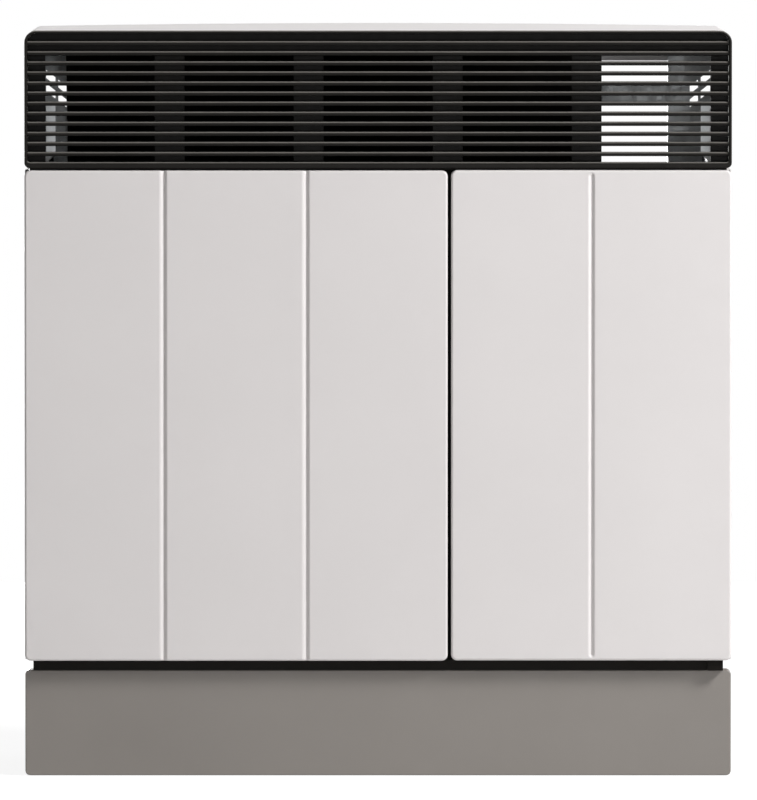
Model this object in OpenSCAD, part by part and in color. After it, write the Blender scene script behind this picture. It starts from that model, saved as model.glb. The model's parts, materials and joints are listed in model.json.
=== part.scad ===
// Balanced-flue gas convector heater.
// Origin on the floor at the middle of the casing: +X to the viewer's right, front at -Y, +Z up.

/* [Casing] */
// Overall width
body_w = 600; // [580:5:680]
// Overall depth from the wall to the front
body_d = 240; // [232:2:280]
// Overall height from the floor to the crest of the hood
body_h = 636; // [600:2:700]
// Thickness of the painted casing sheet
sheet = 1.2; // [1:0.1:1.5]
// Height of the plinth
plinth_h = 90; // [70:1:120]
// How far the plinth sits back from the front
plinth_setback = 14; // [11:1:18]
// Depth of the plinth's returns
plinth_depth = 22; // [16:1:26]
// Air under the plinth
plinth_lift = 1; // [0.5:0.5:3]
// Height of the shadow gap above the plinth
shadow_gap = 8.5; // [7:0.5:12]
// Height of the hood
hood_h = 114.5; // [100:0.5:130]
// Rise of the hood's crest above its corners
hood_crown = 2.5; // [1:0.5:4]
// Radius of the hood's top corners
hood_corner_r = 10; // [8:1:14]
// Height of the lip at the hood's rear edge
hood_lip_h = 30; // [20:1:40]
// Height of the joint between the panels and the hood
joint_gap = 6.5; // [6:0.5:9]

/* [Front] */
// Number of fields across the front
field_count = 5; // [5:1:5]
// How much narrower the two outer fields are
outer_field_cut = 2.5; // [0:0.5:5]
// Number of fields in the door
door_fields = 2; // [2:1:2]
// Gap between the front panel and the door
door_gap = 3; // [3:0.5:5]
// Clearance above and below the door
door_clear = 0.3; // [0.2:0.1:0.5]
// Depth of the folded panels
panel_depth = 18; // [16:1:20]
// Corner radius of the panel outlines
panel_corner_r = 5; // [4:0.5:7]
// Radius of the panels' front edges
panel_edge_r = 2; // [2:0.5:3]
// Radius of the pressed grooves
groove_r = 2.8; // [2:0.2:3.2]
// Distance from the door's groove ends to the door's edges
groove_stop = 4; // [3:0.5:8]

/* [Door hinge and catch] */
// Distance of the hinge axis from the casing's side
hinge_from_side = 11; // [10.5:0.5:12]
// Distance of the hinge axis behind the front
hinge_from_front = 9; // [8:0.5:10]
// Diameter of the hinge pins
hinge_pin_d = 4; // [3:0.5:5]
// Length of each hinge pin inside the door
hinge_pin_reach = 9; // [7:0.5:14]
// Wall of the hinge bushes
bush_wall = 1.45; // [1.2:0.05:2]
// Radial running clearance of pins and spindles
running_fit = 0.05; // [0.02:0.01:0.08]
// Width of the magnetic catch
catch_w = 25; // [20:1:32]
// How far the jamb reaches behind the panel and the door
jamb_lap = 6; // [4:0.5:7]

/* [Grille] */
// Spacing of the grille bars
bar_pitch = 8.54; // [8:0.02:10]
// Height of a grille bar
bar_h = 3.5; // [3:0.1:4]
// Depth of a grille bar
bar_depth = 14; // [10:0.5:14.5]
// Distance from the top of the grille down to the first bar's centre line
first_bar_drop = 10.7; // [9:0.1:12]
// Width of the rim's front edge
rim_w = 2.5; // [2:0.1:3]
// Height of the sill under the bars
sill_h = 5; // [4:0.5:6]
// Width of the windows behind the bars
window_w = 92.6; // [84:0.2:94]
// Width of the uprights between the windows
upright_w = 25.4; // [20:0.2:27]
// Height of the strip above the windows
top_strip_h = 19; // [12:1:24]

/* [Frame] */
// Thickness of the frame sheet
frame_t = 1.5; // [1.2:0.1:2]
// How far the floor frame sits in from the casing's sides
floor_inset = 7; // [5:0.5:9]
// Width of the floor rails
rail_w = 20; // [16:1:24]
// Width of the legs' flanges
leg_flange = 30; // [24:1:40]
// Width of the posts
post_w = 40; // [34:1:46]
// Depth of the posts
post_depth = 20; // [16:1:24]
// Height of the posts' heads above the hood's lower edge
post_head_h = 90; // [80:1:92]
// Height of the tie rail
tie_h = 16; // [12:1:20]
// Distance of the tie rail above the hood's lower edge
tie_rise = 45.5; // [30:0.5:60]
// Distance of the wall bolts in from the casing's sides
wall_bolt_inset = 30; // [29:1:31]
// Height of the lower wall bolts
wall_bolt_low = 175; // [160:5:200]
// Distance between the lower and the upper wall bolts
wall_bolt_rise = 315; // [290:5:320]
// Diameter of the wall bolt holes
wall_bolt_d = 8; // [7:0.5:9]
// Width of the control compartment
compartment_w = 174; // [170:1:180]

/* [Heat exchanger and flue] */
// Depth of the heat exchanger
exchanger_d = 90; // [80:2:100]
// Sheet of the heat exchanger
exchanger_t = 1.2; // [1:0.1:1.5]
// Width of the welded seam flange
seam_w = 6; // [4:0.5:6.5]
// Height of the exchanger's supports
support_h = 31.5; // [26:0.5:40]
// Radius of the exchanger's ribs
rib_r = 8; // [6:0.5:9]
// Spacing of the exchanger's ribs
rib_pitch = 36; // [30:1:44]
// Outer diameter of the burner tube
burner_d = 34; // [30:1:38]
// Outer diameter of the flue pipe
flue_d = 80; // [76:1:84]
// Outer diameter of the air collar
collar_d = 125; // [118:1:130]
// Wall of the flue pipe and of the collar
pipe_wall = 1.5; // [1:0.1:2]
// Distance of the flue axis below the exchanger's top
flue_drop = 80; // [76:1:100]
// Width of the air box
air_box_w = 160; // [156:2:180]
// Radius of the sight glass
sight_r = 14; // [12:1:16]

/* [Controls] */
// Diameter of the control knob
knob_d = 44; // [38:1:50]
// Thickness of the control knob
knob_h = 15.5; // [13:0.5:16]
// Push travel of the control knob
knob_travel = 3.5; // [2:0.5:4]
// Diameter of the knob's spindle
spindle_d = 6; // [5:0.5:8]
// Diameter of the igniter button
button_d = 14; // [12:0.5:15]
// Push travel of the igniter button
button_travel = 6; // [4:0.5:7]
// Height of the knob above the panels' lower edge
knob_rise = 171.5; // [160:0.5:200]
// Width of the gas valve
valve_w = 66; // [56:1:68]
// Height of the gas valve
valve_h = 90; // [86:1:110]
// Outer diameter of the main gas pipe
gas_pipe_d = 10; // [8:0.5:12]
// Outer diameter of the gas inlet's thread
inlet_d = 20.8; // [17:0.1:21.2]

/* [Hidden] */
$fn = 48;
// Overrun of cutting shapes
cut = 1;
// Rest clearance between bodies that move apart
rest_gap = 0.3;
// Smallest length that counts in a direction
tiny = 0.001;
// Sides of hexagonal heads
hex = 6;

// Faces of the casing
side_x = body_w/2;
front_y = -body_d/2;
rear_y = body_d/2;
panel_z0 = plinth_h + shadow_gap;
hood_z0 = body_h - hood_h;
panel_z1 = hood_z0 - joint_gap;
hood_z1 = body_h - hood_crown;
panel_back_y = front_y + panel_depth;

// Front fields
field_w = (body_w + 2*outer_field_cut)/field_count;
field_x0 = -side_x - outer_field_cut;
split_x = -field_x0 - door_fields*field_w;
front_x1 = split_x - door_gap/2;
door_x0 = split_x + door_gap/2;
door_z0 = panel_z0 + door_clear;
strip_t = 1.4;
plinth_corner_r = 4;
plinth_edge_r = 2;
side_corner_r = 3;
side_lip_stop = 4;
arc_steps = 8;
strip_z0 = panel_z1 + 2*door_clear;
door_z1 = strip_z0 - door_clear;

// Door hinge: the door's rear corner sweeps this radius about the axis
hinge_x = side_x - hinge_from_side;
hinge_y = front_y + hinge_from_front;
hinge_sweep_r = norm([hinge_from_side, panel_depth - hinge_from_front]);
bush_r = hinge_pin_d/2 + running_fit + bush_wall;
frame_front_y = hinge_y + hinge_sweep_r + 0.8;
side_front_y = hinge_y + sqrt(pow(hinge_sweep_r, 2) - pow(hinge_from_side - sheet, 2)) + 0.7;
joint_inset = 4.2;
joint_setback = 3;
catch_from_edge = 8;
catch_h = 12.6;
catch_x = [door_x0 + catch_from_edge, door_x0 + catch_from_edge + catch_w];
catch_y0 = panel_back_y + 1.5;
catch_z0 = strip_z0 - catch_h;
stiffener_from_edge = 53;
stiffener_w = 30;
stiffener_x = [door_x0 + stiffener_from_edge, door_x0 + stiffener_from_edge + stiffener_w];
stiffener_d = 10;
stiffener_z = [panel_z0 + 12, panel_z1 - 15];
striker_z0 = catch_z0 - 6;
striker_h = 15;
striker_foot_h = 14;
magnet_h = 2;
magnet_z = [catch_z0 + 1, catch_z0 + 7];
catch_d = 12;
bush_flange_t = 1;
bush_flange_w = 2;
pin_recess = 1;
hinge_lug_w = 9;
hinge_lug_front = 4.5;
hinge_lug_lap = 4;

// Grille
rim_z0 = strip_z0 + strip_t;
sill_z1 = rim_z0 + sill_h;
hood_front_y = front_y + 17;
bars_y0 = front_y + 1;
bars_y1 = bars_y0 + bar_depth;
upright_t = 1.5;
grille_fit = 0.2;
bars_x = side_x - rim_w - grille_fit;
first_bar_z = hood_z1 - first_bar_drop;
bar_count = floor((first_bar_z - sill_z1 - bar_pitch/2 - bar_h/2)/bar_pitch) + 1;
window_pitch = window_w + upright_w;
edge_strip_min = 8;
window_count = floor((2*(bars_x - edge_strip_min) + upright_w)/window_pitch);
window_z1 = hood_z1 - rim_w - top_strip_h;
rim_corner_r = sill_h - 0.5;
inner_corner_r = 1;

// Floor frame, legs and posts
floor_x = side_x - floor_inset;
floor_front_y = front_y + 10;
floor_rear_y = rear_y - 2;
leg_y0 = front_y + plinth_setback + plinth_depth + 4;
leg_y1 = rear_y - 10;
post_x1 = side_x - 10;
post_x0 = post_x1 - post_w;
post_rear_y = rear_y - frame_t;
post_y = post_rear_y - post_depth;
post_z1 = hood_z0 + post_head_h;
flange_w = 20;
wall_bolt_x = side_x - wall_bolt_inset;
wall_bolts_z = [wall_bolt_low, wall_bolt_low + wall_bolt_rise];
bracket_h = 50;
// Lattice in the posts: drops of its rows below the head, height and slope of its holes,
// and its two columns as distances from the post's outer edge
vent_drops = [13, 24.5];
vent_h = 6.8;
vent_slope = 0.79;
vent_columns = [[21, 14], [11.5, 3.5]];
// Window under the lattice, where the post folds back to the wall
fold_drop = 46.5;
fold_rise = 1;
fold_back = 1.5;
fold_x = [post_x1 - vent_columns[1][0], post_x1 - vent_columns[1][1]];
fold_z = [hood_z0 + fold_rise, post_z1 - fold_drop];
tie_lap = 12;
tie_flange = 8;
screw_z = [panel_z0 + 51, (panel_z0 + panel_z1)/2, panel_z1 - 75];
screw_x = (post_x0 + post_x1)/2;
screw_r = 1.8;
screw_hole_r = 1.9;
screw_head_r = 3.5;
screw_head_h = 2.5;
screw_len = 6;

// Shield, divider, deflector and exchanger
shield_t = 1.2;
shield_y = post_y - shield_t;
shield_inset = 2;
shield_drop = 12;
shield_lift = 1;
collar_clear = 2.2;
divider_x = side_x - compartment_w - 1;
divider_t = 1;
divider_clear = 0.6;
exchanger_x0 = -side_x + 50;
exchanger_x1 = divider_x - 7;
exchanger_z0 = panel_z0 + support_h + seam_w;
exchanger_z1 = panel_z1 - 15;
exchanger_y = exchanger_d/2;
supports_x = [exchanger_x0 + 30, exchanger_x1 - 48];
support_inset = 10;
rib_margin = 20;
rib_z0 = exchanger_z0 + 74;
rib_z1 = exchanger_z1 - rib_margin;
flue_x = (exchanger_x0 + exchanger_x1)/2 + 26;
flue_z = exchanger_z1 - flue_drop;
flue_r = flue_d/2;
collar_r = collar_d/2;
collar_flange_w = 10;
collar_flange_t = 1.2;
collar_step = 1.2;
air_box_y1 = shield_y - 3.3;
air_box_z = [exchanger_z0 + 14, exchanger_z1 - 10];
air_box_t = 1;
air_box_flange = 8;
air_slot_w = 120;
air_slot_z = [air_box_z[0] + 8, air_box_z[0] + 48];
shield_x1 = (window_count/2 - 1)*window_pitch + upright_w/2;
deflector_x = [-side_x + 32, shield_x1 - 2];
deflector_t = 1;
deflector_z1 = hood_z1 - 8.5;
deflector_r = 120;
deflector_z0 = exchanger_z1 - 5;
deflector_y1 = shield_y - 1.3;
inner_front_y = front_y + 25;
curve_steps = 128;
tie_z = hood_z0 + tie_rise;

// Burner, seen along its length: [y, z] places of what passes through its plate
burner_z = exchanger_z0 + 36;
burner_x = [exchanger_x0 + 18, exchanger_x1 - 18];
burner_end_x = burner_x[1];
burner_spigot_r = 5;
port_pitch = 12;
port_w = 2;
port_reach = 11.4;
port_depth = 8.6;
throat_r = 11;
gasket_t = 1;
plate_t = 1.5;
plate_x = exchanger_x1 + gasket_t;
plate_x1 = plate_x + plate_t;
plate_inset = 2;
plate_reach = [30, 31];
plate_z = [burner_z - plate_reach[0], burner_z + plate_reach[1]];
hatch_y = 30;
hatch_lip = 3;
hatch_z = [plate_z[0] + hatch_lip, plate_z[1] - hatch_lip];
notch_room = 5;
flange_notch_z = [plate_z[0] - notch_room, plate_z[1] + notch_room];
hatch_head_room = 4;
divider_hatch_z = [flange_notch_z[0], flange_notch_z[1] + hatch_head_room];
pilot_at = [-18, burner_z - 12];
thermocouple_at = [-27, burner_z + 14];
spark_at = [-15, burner_z + 18];
plate_screw_y = 36;
plate_screw_inset = 10;
plate_screw_z = [plate_z[0] + plate_screw_inset, plate_z[1] - plate_screw_inset];
plate_screws = [for (y = [-plate_screw_y, plate_screw_y], z = plate_screw_z) [y, z]];
sight_inset = 23;
sight_x = exchanger_x1 - sight_inset;
sight_lip = 3;
sight_frame_w = 4;
sight_glass_t = 3;
sight_frame_t = 5;
pilot_r = 3;
probe_r = 2;
lead_r = 1.5;
ceramic_r = 4;
injector_len = 11.5;
nozzle_len = 8;
nozzle_r = 3;
jet_r = 0.8;
injector_flange_t = 2;
injector_hex_r = 9;
air_hole_r = 1.6;
air_hole_count = 6;
jet_stop = 2;
air_hole_at = 6.5;
pilot_head_len = 14;
pilot_stem_len = 4;
pilot_head_wall = 1.2;
probe_len = 14;
probe_nut_len = 4;
probe_lead_lap = 1;
spark_tip_r = 1.2;
spark_tip_len = 24;
ceramic_x = [burner_end_x + 8, plate_x1 + 16];

// Controls
fascia_y = front_y + 40;
fascia_t = 1.5;
fascia_x1 = side_x - 38;
fascia_h = 231.5;
fascia_z1 = panel_z0 + fascia_h;
fascia_foot = 15;
fascia_lip = 20;
spindle_clear = 2;
knob_z = panel_z0 + knob_rise;
knob_x = divider_x + 60;
knob_y0 = front_y + 20;
valve_x = [knob_x - valve_w/2, knob_x + valve_w/2];
valve_z = [knob_z - valve_h/2, knob_z + valve_h/2];
valve_y = [fascia_y + fascia_t, fascia_y + 50];
spindle_r = spindle_d/2;
spindle_end_y = fascia_y + 22;
plunger_r = 2.5;
plunger_len = 20;
plunger_gap = 0.1;
plunger_end_gap = 0.5;
regulator_r = 15;
regulator_h = 12;
regulator_setback = 4;
outlet_boss_r = 11;
outlet_boss_h = 6;
knob_rim_h = 6;
knob_step = 6.5;
knob_cap_t = 3;
igniter_wall = 2;
igniter_flange = 3;
igniter_nut_t = 4;
igniter_end_gap = 2;
// Ports in the valve's underside, from the knob's axis and the ports' row
main_port_x = -15;
pilot_port = [-25, -10];
thermocouple_port = [-3, -12];
pipe_nut_wall = 4;
pipe_nut_h = 10;
pipe_bend_r = 14;
bend_r = 8;
small_pipe_r = 2;
capillary_r = 1;
capillary_bend_r = 6;
capillary_out = 16;
capillary_drop = 15;
button_r = button_d/2;
igniter_r = button_r + igniter_wall;
igniter_x = knob_x + 53;
igniter_y = [fascia_y - 2.5, fascia_y + 42];
button_y0 = front_y + 26;
button_y1 = button_y0 + 36;
inlet_x = knob_x + 20;
inlet_len = 17;
port_y = fascia_y + 30;
gas_r = gas_pipe_d/2;
sensor_z = panel_z0 + 41.5;
sensor_r = 4;
sensor_x = [divider_x + 35, divider_x + 115];
sensor_y = fascia_y + fascia_t + sensor_r + 1.5;
clips_x = [sensor_x[0] + 15, sensor_x[1] - 23];
clip_w = 8;
clip_h = 12;
clip_t = 1;
inlet_hex_r = 14;
inlet_hex_h = 15;
inlet_neck_r = 7.5;
inlet_z = panel_z0 - 3.5;
plunger_y = [spindle_end_y + plunger_gap, spindle_end_y + plunger_gap + plunger_len];

// Colours
white = "#e6e3e2";
black = "#1c1a19";
taupe = "#8c8580";
zinc = "#b4b8ba";
dark_steel = "#4a4a4c";
steel = "#8f9296";
brass = "#c9a24a";
copper = "#b8744c";

// Outline with rounded corners, lower radius rb and upper radius rt
module plate_2d(x, z, rb, rt) {
  w = x[1] - x[0];
  h = z[1] - z[0];
  translate([x[0], z[0] + rb]) square([w, h - rb - rt]);
  translate([x[0] + rb, z[0]]) square([w - 2*rb, h/2]);
  translate([x[0] + rt, z[0] + h/2]) square([w - 2*rt, h/2]);
  for (px = [x[0] + rb, x[1] - rb]) translate([px, z[0] + rb]) circle(r = rb);
  for (px = [x[0] + rt, x[1] - rt]) translate([px, z[1] - rt]) circle(r = rt);
}

// Extrudes a drawing of x and z along y
module along_y(y) translate([0, y[1], 0]) rotate([90, 0, 0]) linear_extrude(y[1] - y[0]) children();

// Extrudes a drawing of y and z along x
module along_x(x) translate([x[0], 0, 0]) rotate([90, 0, 90]) linear_extrude(x[1] - x[0]) children();

// Extrudes a drawing of x and y along z
module along_z(z) translate([0, 0, z[0]]) linear_extrude(z[1] - z[0]) children();

module box(x, y, z) translate([x[0], y[0], z[0]]) cube([x[1] - x[0], y[1] - y[0], z[1] - z[0]]);

module rod_x(x, y, z, r) translate([x[0], y, z]) rotate([0, 90, 0]) cylinder(r = r, h = x[1] - x[0]);

module rod_y(x, y, z, r) translate([x, y[0], z]) rotate([-90, 0, 0]) cylinder(r = r, h = y[1] - y[0]);

module rod_z(x, y, z, r) translate([x, y, z[0]]) cylinder(r = r, h = z[1] - z[0]);

// The same shape on both sides of the middle
module both_sides() {
  children();
  mirror([1, 0, 0]) children();
}

// Square tube along x
module tube_x(x, y, z, wall) difference() {
  box(x, y, z);
  box([x[0] - cut, x[1] + cut], [y[0] + wall, y[1] - wall], [z[0] + wall, z[1] - wall]);
}

// Square tube along y
module tube_y(x, y, z, wall) difference() {
  box(x, y, z);
  box([x[0] + wall, x[1] - wall], [y[0] - cut, y[1] + cut], [z[0] + wall, z[1] - wall]);
}

// Block with rounded outline and rounded front edges, its front at y[0]
module front_block(x, y, z, outline_r, edge_r) intersection() {
  along_y(y) plate_2d(x, z, outline_r, outline_r);
  along_z(z) plate_2d(x, [y[0], y[1] + 2*edge_r], edge_r, edge_r);
  along_x(x) plate_2d([y[0], y[1] + 2*edge_r], z, edge_r, edge_r);
}

// Folded sheet pan, open to the rear
module pan(x, y, z, outline_r, edge_r, t) difference() {
  front_block(x, y, z, outline_r, edge_r);
  front_block([x[0] + t, x[1] - t], [y[0] + t, y[1] + cut], [z[0] + t, z[1] - t], outline_r - t, edge_r - t);
}

// Folded panel with half-round grooves at the places in grooves_x
module grooved_pan(x, y, z, grooves_x, groove_z) difference() {
  union() {
    pan(x, y, z, panel_corner_r, panel_edge_r, sheet);
    for (gx = grooves_x)
      intersection() {
        rod_z(gx, y[0], [z[0] + sheet/2, z[1] - sheet/2], groove_r + sheet);
        box([gx - 2*groove_r, gx + 2*groove_r], [y[0] + sheet/2, y[1]], z);
      }
  }
  for (gx = grooves_x) rod_z(gx, y[0], groove_z, groove_r);
}

// Round tube along points whose runs are parallel to the axes, with bends of radius b
module pipe_run(points, r, b) {
  last = len(points) - 1;
  for (i = [0:last - 1]) {
    step = points[i + 1] - points[i];
    dir = step/norm(step);
    from = points[i] + dir*(i == 0 ? 0 : b);
    to = points[i + 1] - dir*(i == last - 1 ? 0 : b);
    straight(from, to, r);
  }
  for (i = [1:last - 1]) {
    u = (points[i] - points[i - 1])/norm(points[i] - points[i - 1]);
    v = (points[i + 1] - points[i])/norm(points[i + 1] - points[i]);
    n = cross(u, v);
    c = points[i] - u*b + v*b;
    multmatrix([
      [-v[0], u[0], n[0], c[0]], [-v[1], u[1], n[1], c[1]], [-v[2], u[2], n[2], c[2]], [0, 0, 0, 1]
    ])
      rotate_extrude(angle = 90) translate([b, 0]) circle(r = r);
  }
}

module straight(from, to, r) {
  d = to - from;
  translate(from)
    rotate(abs(d[0]) > tiny ? [0, 90*sign(d[0]), 0]
      : abs(d[1]) > tiny ? [-90*sign(d[1]), 0, 0] : [0, d[2] > 0 ? 0 : 180, 0])
      cylinder(r = r, h = norm(d));
}

// Casing

module front_panel() color(white)
  grooved_pan([-side_x, front_x1], [front_y, panel_back_y], [panel_z0, panel_z1],
    [for (i = [1:field_count - door_fields - 1]) field_x0 + i*field_w], [panel_z0 - cut, panel_z1 + cut]);

module side_panel() color(white) {
  along_x([side_x - sheet, side_x])
    plate_2d([side_front_y, post_rear_y], [panel_z0, panel_z1], side_corner_r, side_corner_r);
  for (z0 = [panel_z0, panel_z1 - sheet])
    box([side_x - flange_w, side_x - sheet/2], [frame_front_y, shield_y], [z0, z0 + sheet]);
  box([side_x - flange_w/2, side_x - sheet/2], [frame_front_y, frame_front_y + sheet], [panel_z0, panel_z1]);
  box([post_x1, side_x - sheet/2], [post_rear_y - sheet, post_rear_y],
    [panel_z0 + side_lip_stop, panel_z1 - side_lip_stop]);
}

module side_panel_left() mirror([1, 0, 0]) side_panel();

module side_panel_right() side_panel();

// Half of the hood's outline, from the lower right corner to the crest
function hood_half(inset) = let (
  r = hood_corner_r - inset,
  x1 = side_x - inset,
  top = hood_z1 - inset
) concat(
  [[x1, hood_z0]],
  [for (i = [0:arc_steps]) let (a = 90*i/arc_steps) [x1 - r + r*cos(a), top - r + r*sin(a)]],
  [for (i = [1:arc_steps]) let (t = 1 - i/arc_steps) [(x1 - r)*t, top + hood_crown*(1 - t*t)]]
);

module hood_outline(inset) {
  half = hood_half(inset);
  last = len(half) - 1;
  polygon(concat(half, [for (i = [last - 1:-1:0]) [-half[i][0], half[i][1]]]));
}

module hood() color(white) {
  along_y([hood_front_y, rear_y]) difference() {
    hood_outline(0);
    hood_outline(sheet);
    translate([-side_x + sheet, hood_z0 - cut]) square([2*side_x - 2*sheet, 2*cut]);
  }
  along_y([rear_y - sheet, rear_y]) intersection() {
    hood_outline(sheet/2);
    translate([-side_x, hood_z1 - hood_lip_h]) square([2*side_x, 2*hood_lip_h]);
  }
  both_sides()
    box([side_x - flange_w, side_x - sheet/2], [frame_front_y, post_y], [hood_z0, hood_z0 + sheet]);
}

module plinth() color(taupe)
  pan([-side_x, side_x], [front_y + plinth_setback, front_y + plinth_setback + plinth_depth],
    [plinth_lift, plinth_h], plinth_corner_r, plinth_edge_r, frame_t);

// Door and its hinge

module control_door() color(white) difference() {
  grooved_pan([door_x0, side_x], [front_y, panel_back_y], [door_z0, door_z1],
    [for (i = [1:door_fields - 1]) split_x + i*field_w], [door_z0 + groove_stop, door_z1 - groove_stop]);
  rod_z(hinge_x, hinge_y, [door_z0 - cut, door_z0 + 2*sheet], bush_r);
  rod_z(hinge_x, hinge_y, [door_z1 - 2*sheet, door_z1 + cut], bush_r);
}

module door_stiffener() color(steel) difference() {
  box(stiffener_x, [front_y + sheet, front_y + stiffener_d], stiffener_z);
  box([stiffener_x[0] + sheet, stiffener_x[1] - sheet], [front_y, front_y + stiffener_d - sheet],
    [panel_z0, panel_z1]);
}

module door_striker() color(steel) {
  y1 = catch_y0 - rest_gap;
  box(catch_x, [y1 - frame_t, y1], [striker_z0, striker_z0 + striker_h]);
  box(catch_x, [front_y + sheet, y1], [striker_z0, striker_z0 + frame_t]);
  box(catch_x, [front_y + sheet, front_y + sheet + frame_t],
    [striker_z0 - striker_foot_h, striker_z0 + frame_t]);
}

module bush() difference() {
  union() {
    rod_z(0, 0, [0, sheet], bush_r);
    rod_z(0, 0, [sheet, sheet + bush_flange_t], bush_r + bush_flange_w);
  }
  rod_z(0, 0, [-cut, sheet + bush_flange_t + cut], hinge_pin_d/2 + running_fit);
}

module hinge_bushes() color("#dcdcd2") {
  translate([hinge_x, hinge_y, door_z0]) bush();
  translate([hinge_x, hinge_y, door_z1]) mirror([0, 0, 1]) bush();
}

module hinge_pins() color(steel) {
  rod_z(hinge_x, hinge_y, [plinth_h + pin_recess, panel_z0 + hinge_pin_reach], hinge_pin_d/2);
  rod_z(hinge_x, hinge_y, [door_z1 - hinge_pin_reach, rim_z0], hinge_pin_d/2);
}

module magnet_catch() color(black) {
  box(catch_x, [catch_y0 + magnet_h/2, catch_y0 + catch_d], [catch_z0, strip_z0]);
  for (z0 = magnet_z)
    box([catch_x[0] + magnet_h, catch_x[1] - magnet_h], [catch_y0, catch_y0 + magnet_h],
      [z0, z0 + magnet_h]);
}

// Dark strip behind the gap between the front panel and the door
module door_jamb() color(black) {
  y0 = panel_back_y + rest_gap;
  box([front_x1 - jamb_lap, door_x0 + jamb_lap], [y0, y0 + frame_t], [panel_z0, strip_z0]);
}

// Grille

module grille_rim() color(black)
  along_y([front_y, hood_front_y - rest_gap]) difference() {
    plate_2d([-side_x, side_x], [rim_z0, hood_z1], rim_corner_r, hood_corner_r);
    plate_2d([-side_x + rim_w, side_x - rim_w], [sill_z1, hood_z1 - rim_w], inner_corner_r,
      hood_corner_r - rim_w);
  }

module grille_bars() color(black)
  for (i = [0:bar_count - 1])
    along_x([-bars_x, bars_x]) translate([bars_y0, first_bar_z - i*bar_pitch]) {
      translate([bar_h/2, 0]) circle(r = bar_h/2);
      translate([bar_h/2, -bar_h/2]) square([bar_depth - bar_h/2, bar_h]);
    }

module grille_uprights() color(black) {
  y = [bars_y1, bars_y1 + upright_t];
  for (i = [1:window_count - 1]) {
    x = (i - window_count/2)*window_pitch;
    box([x - upright_w/2, x + upright_w/2], y, [sill_z1, window_z1]);
  }
  both_sides() box([window_count/2*window_pitch - upright_w/2, bars_x], y, [sill_z1, window_z1]);
}

module grille_top_strip() color(black)
  along_y([bars_y1, bars_y1 + upright_t])
    plate_2d([-bars_x, bars_x], [window_z1, hood_z1 - rim_w - grille_fit], inner_corner_r,
      hood_corner_r - rim_w);

module joint_strip() color(black) difference() {
  box([-side_x + joint_inset, side_x - joint_inset], [front_y + joint_setback, frame_front_y],
    [strip_z0, rim_z0]);
  rod_z(hinge_x, hinge_y, [strip_z0 - cut, rim_z0 + cut], hinge_pin_d/2);
}

module joint_rails() color(black) both_sides()
  tube_y([side_x - flange_w, side_x - joint_inset], [frame_front_y, post_y], [panel_z1, hood_z0], frame_t);

// Frame

module leg() color(black) {
  box([floor_x - frame_t, floor_x], [leg_y0, leg_y1], [0, plinth_h]);
  for (z0 = [0, plinth_h - frame_t])
    box([floor_x - leg_flange, floor_x], [leg_y0, leg_y1], [z0, z0 + frame_t]);
}

module leg_left() mirror([1, 0, 0]) leg();

module leg_right() leg();

module floor_front_rail() color(black) difference() {
  union() {
    tube_x([-floor_x, floor_x], [floor_front_y, floor_front_y + rail_w], [plinth_h, panel_z0], frame_t);
    box([hinge_x - hinge_lug_w, floor_x], [hinge_y - hinge_lug_front, floor_front_y + hinge_lug_lap],
      [plinth_h, panel_z0]);
  }
  rod_z(hinge_x, hinge_y, [plinth_h - cut, panel_z0 + cut], hinge_pin_d/2);
}

module floor_rear_rail() color(black)
  tube_x([-floor_x, floor_x], [floor_rear_y - rail_w, floor_rear_y], [plinth_h, panel_z0], frame_t);

module floor_side_rails() color(black) both_sides()
  tube_y([floor_x - rail_w, floor_x], [floor_front_y + rail_w, floor_rear_y - rail_w],
    [plinth_h, panel_z0], frame_t);

// Holes for the shield's screws and for reaching the wall bolts
module rear_holes() {
  for (z = screw_z) rod_y(screw_x, [shield_y - cut, post_y + frame_t + cut], z, screw_hole_r);
  for (z = wall_bolts_z) rod_y(wall_bolt_x, [shield_y - cut, post_y + frame_t + cut], z, wall_bolt_d);
}

module post() color(zinc) {
  difference() {
    union() {
      box([post_x0, post_x1], [post_y, post_y + frame_t], [panel_z0, post_z1]);
      for (x0 = [post_x0, post_x1 - frame_t])
        box([x0, x0 + frame_t], [post_y, post_rear_y], [panel_z0, post_z1]);
    }
    rear_holes();
    for (drop = vent_drops, column = vent_columns) vent(post_z1 - drop, column);
    box([fold_x[0], fold_x[1]], [post_y - cut, post_y + frame_t + cut], fold_z);
  }
  along_z(fold_z) polygon([
    [fold_x[1], post_y],
    [fold_x[1] + frame_t, post_y],
    [fold_x[0] + frame_t, post_rear_y - fold_back],
    [fold_x[0], post_rear_y - fold_back]
  ]);
}

// Slanting hole of the posts' lattice between two distances from the outer edge
module vent(z, column) along_y([post_y - cut, post_y + frame_t + cut])
  polygon([
    for (end = [0, 1], low = [end, 1 - end])
      [post_x1 - column[end], z - vent_slope*column[end] - low*vent_h]
  ]);

module post_left() mirror([1, 0, 0]) post();

module post_right() post();

module tie_rail() color(zinc) {
  x = [shield_x1, post_x0 + tie_lap];
  box(x, [shield_y, post_y], [tie_z, tie_z + tie_h]);
  box(x, [shield_y - tie_flange, post_y], [tie_z, tie_z + frame_t]);
}

module rear_shield() color(dark_steel) difference() {
  union() {
    box([-post_x1 + shield_inset, post_x1 - shield_inset], [shield_y, post_y],
      [panel_z0 + support_h + shield_lift, panel_z1]);
    box([deflector_x[0], shield_x1], [shield_y, post_y], [panel_z1 - cut, post_z1 - shield_drop]);
  }
  rod_y(flue_x, [shield_y - cut, post_y + cut], flue_z, collar_r + collar_clear);
  both_sides() rear_holes();
}

module wall_brackets() color(zinc) both_sides()
  for (z = wall_bolts_z)
    difference() {
      box([post_x0, post_x1], [post_rear_y, rear_y], [z - bracket_h/2, z + bracket_h/2]);
      rod_y(wall_bolt_x, [post_rear_y - cut, rear_y + cut], z, wall_bolt_d/2);
    }

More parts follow.
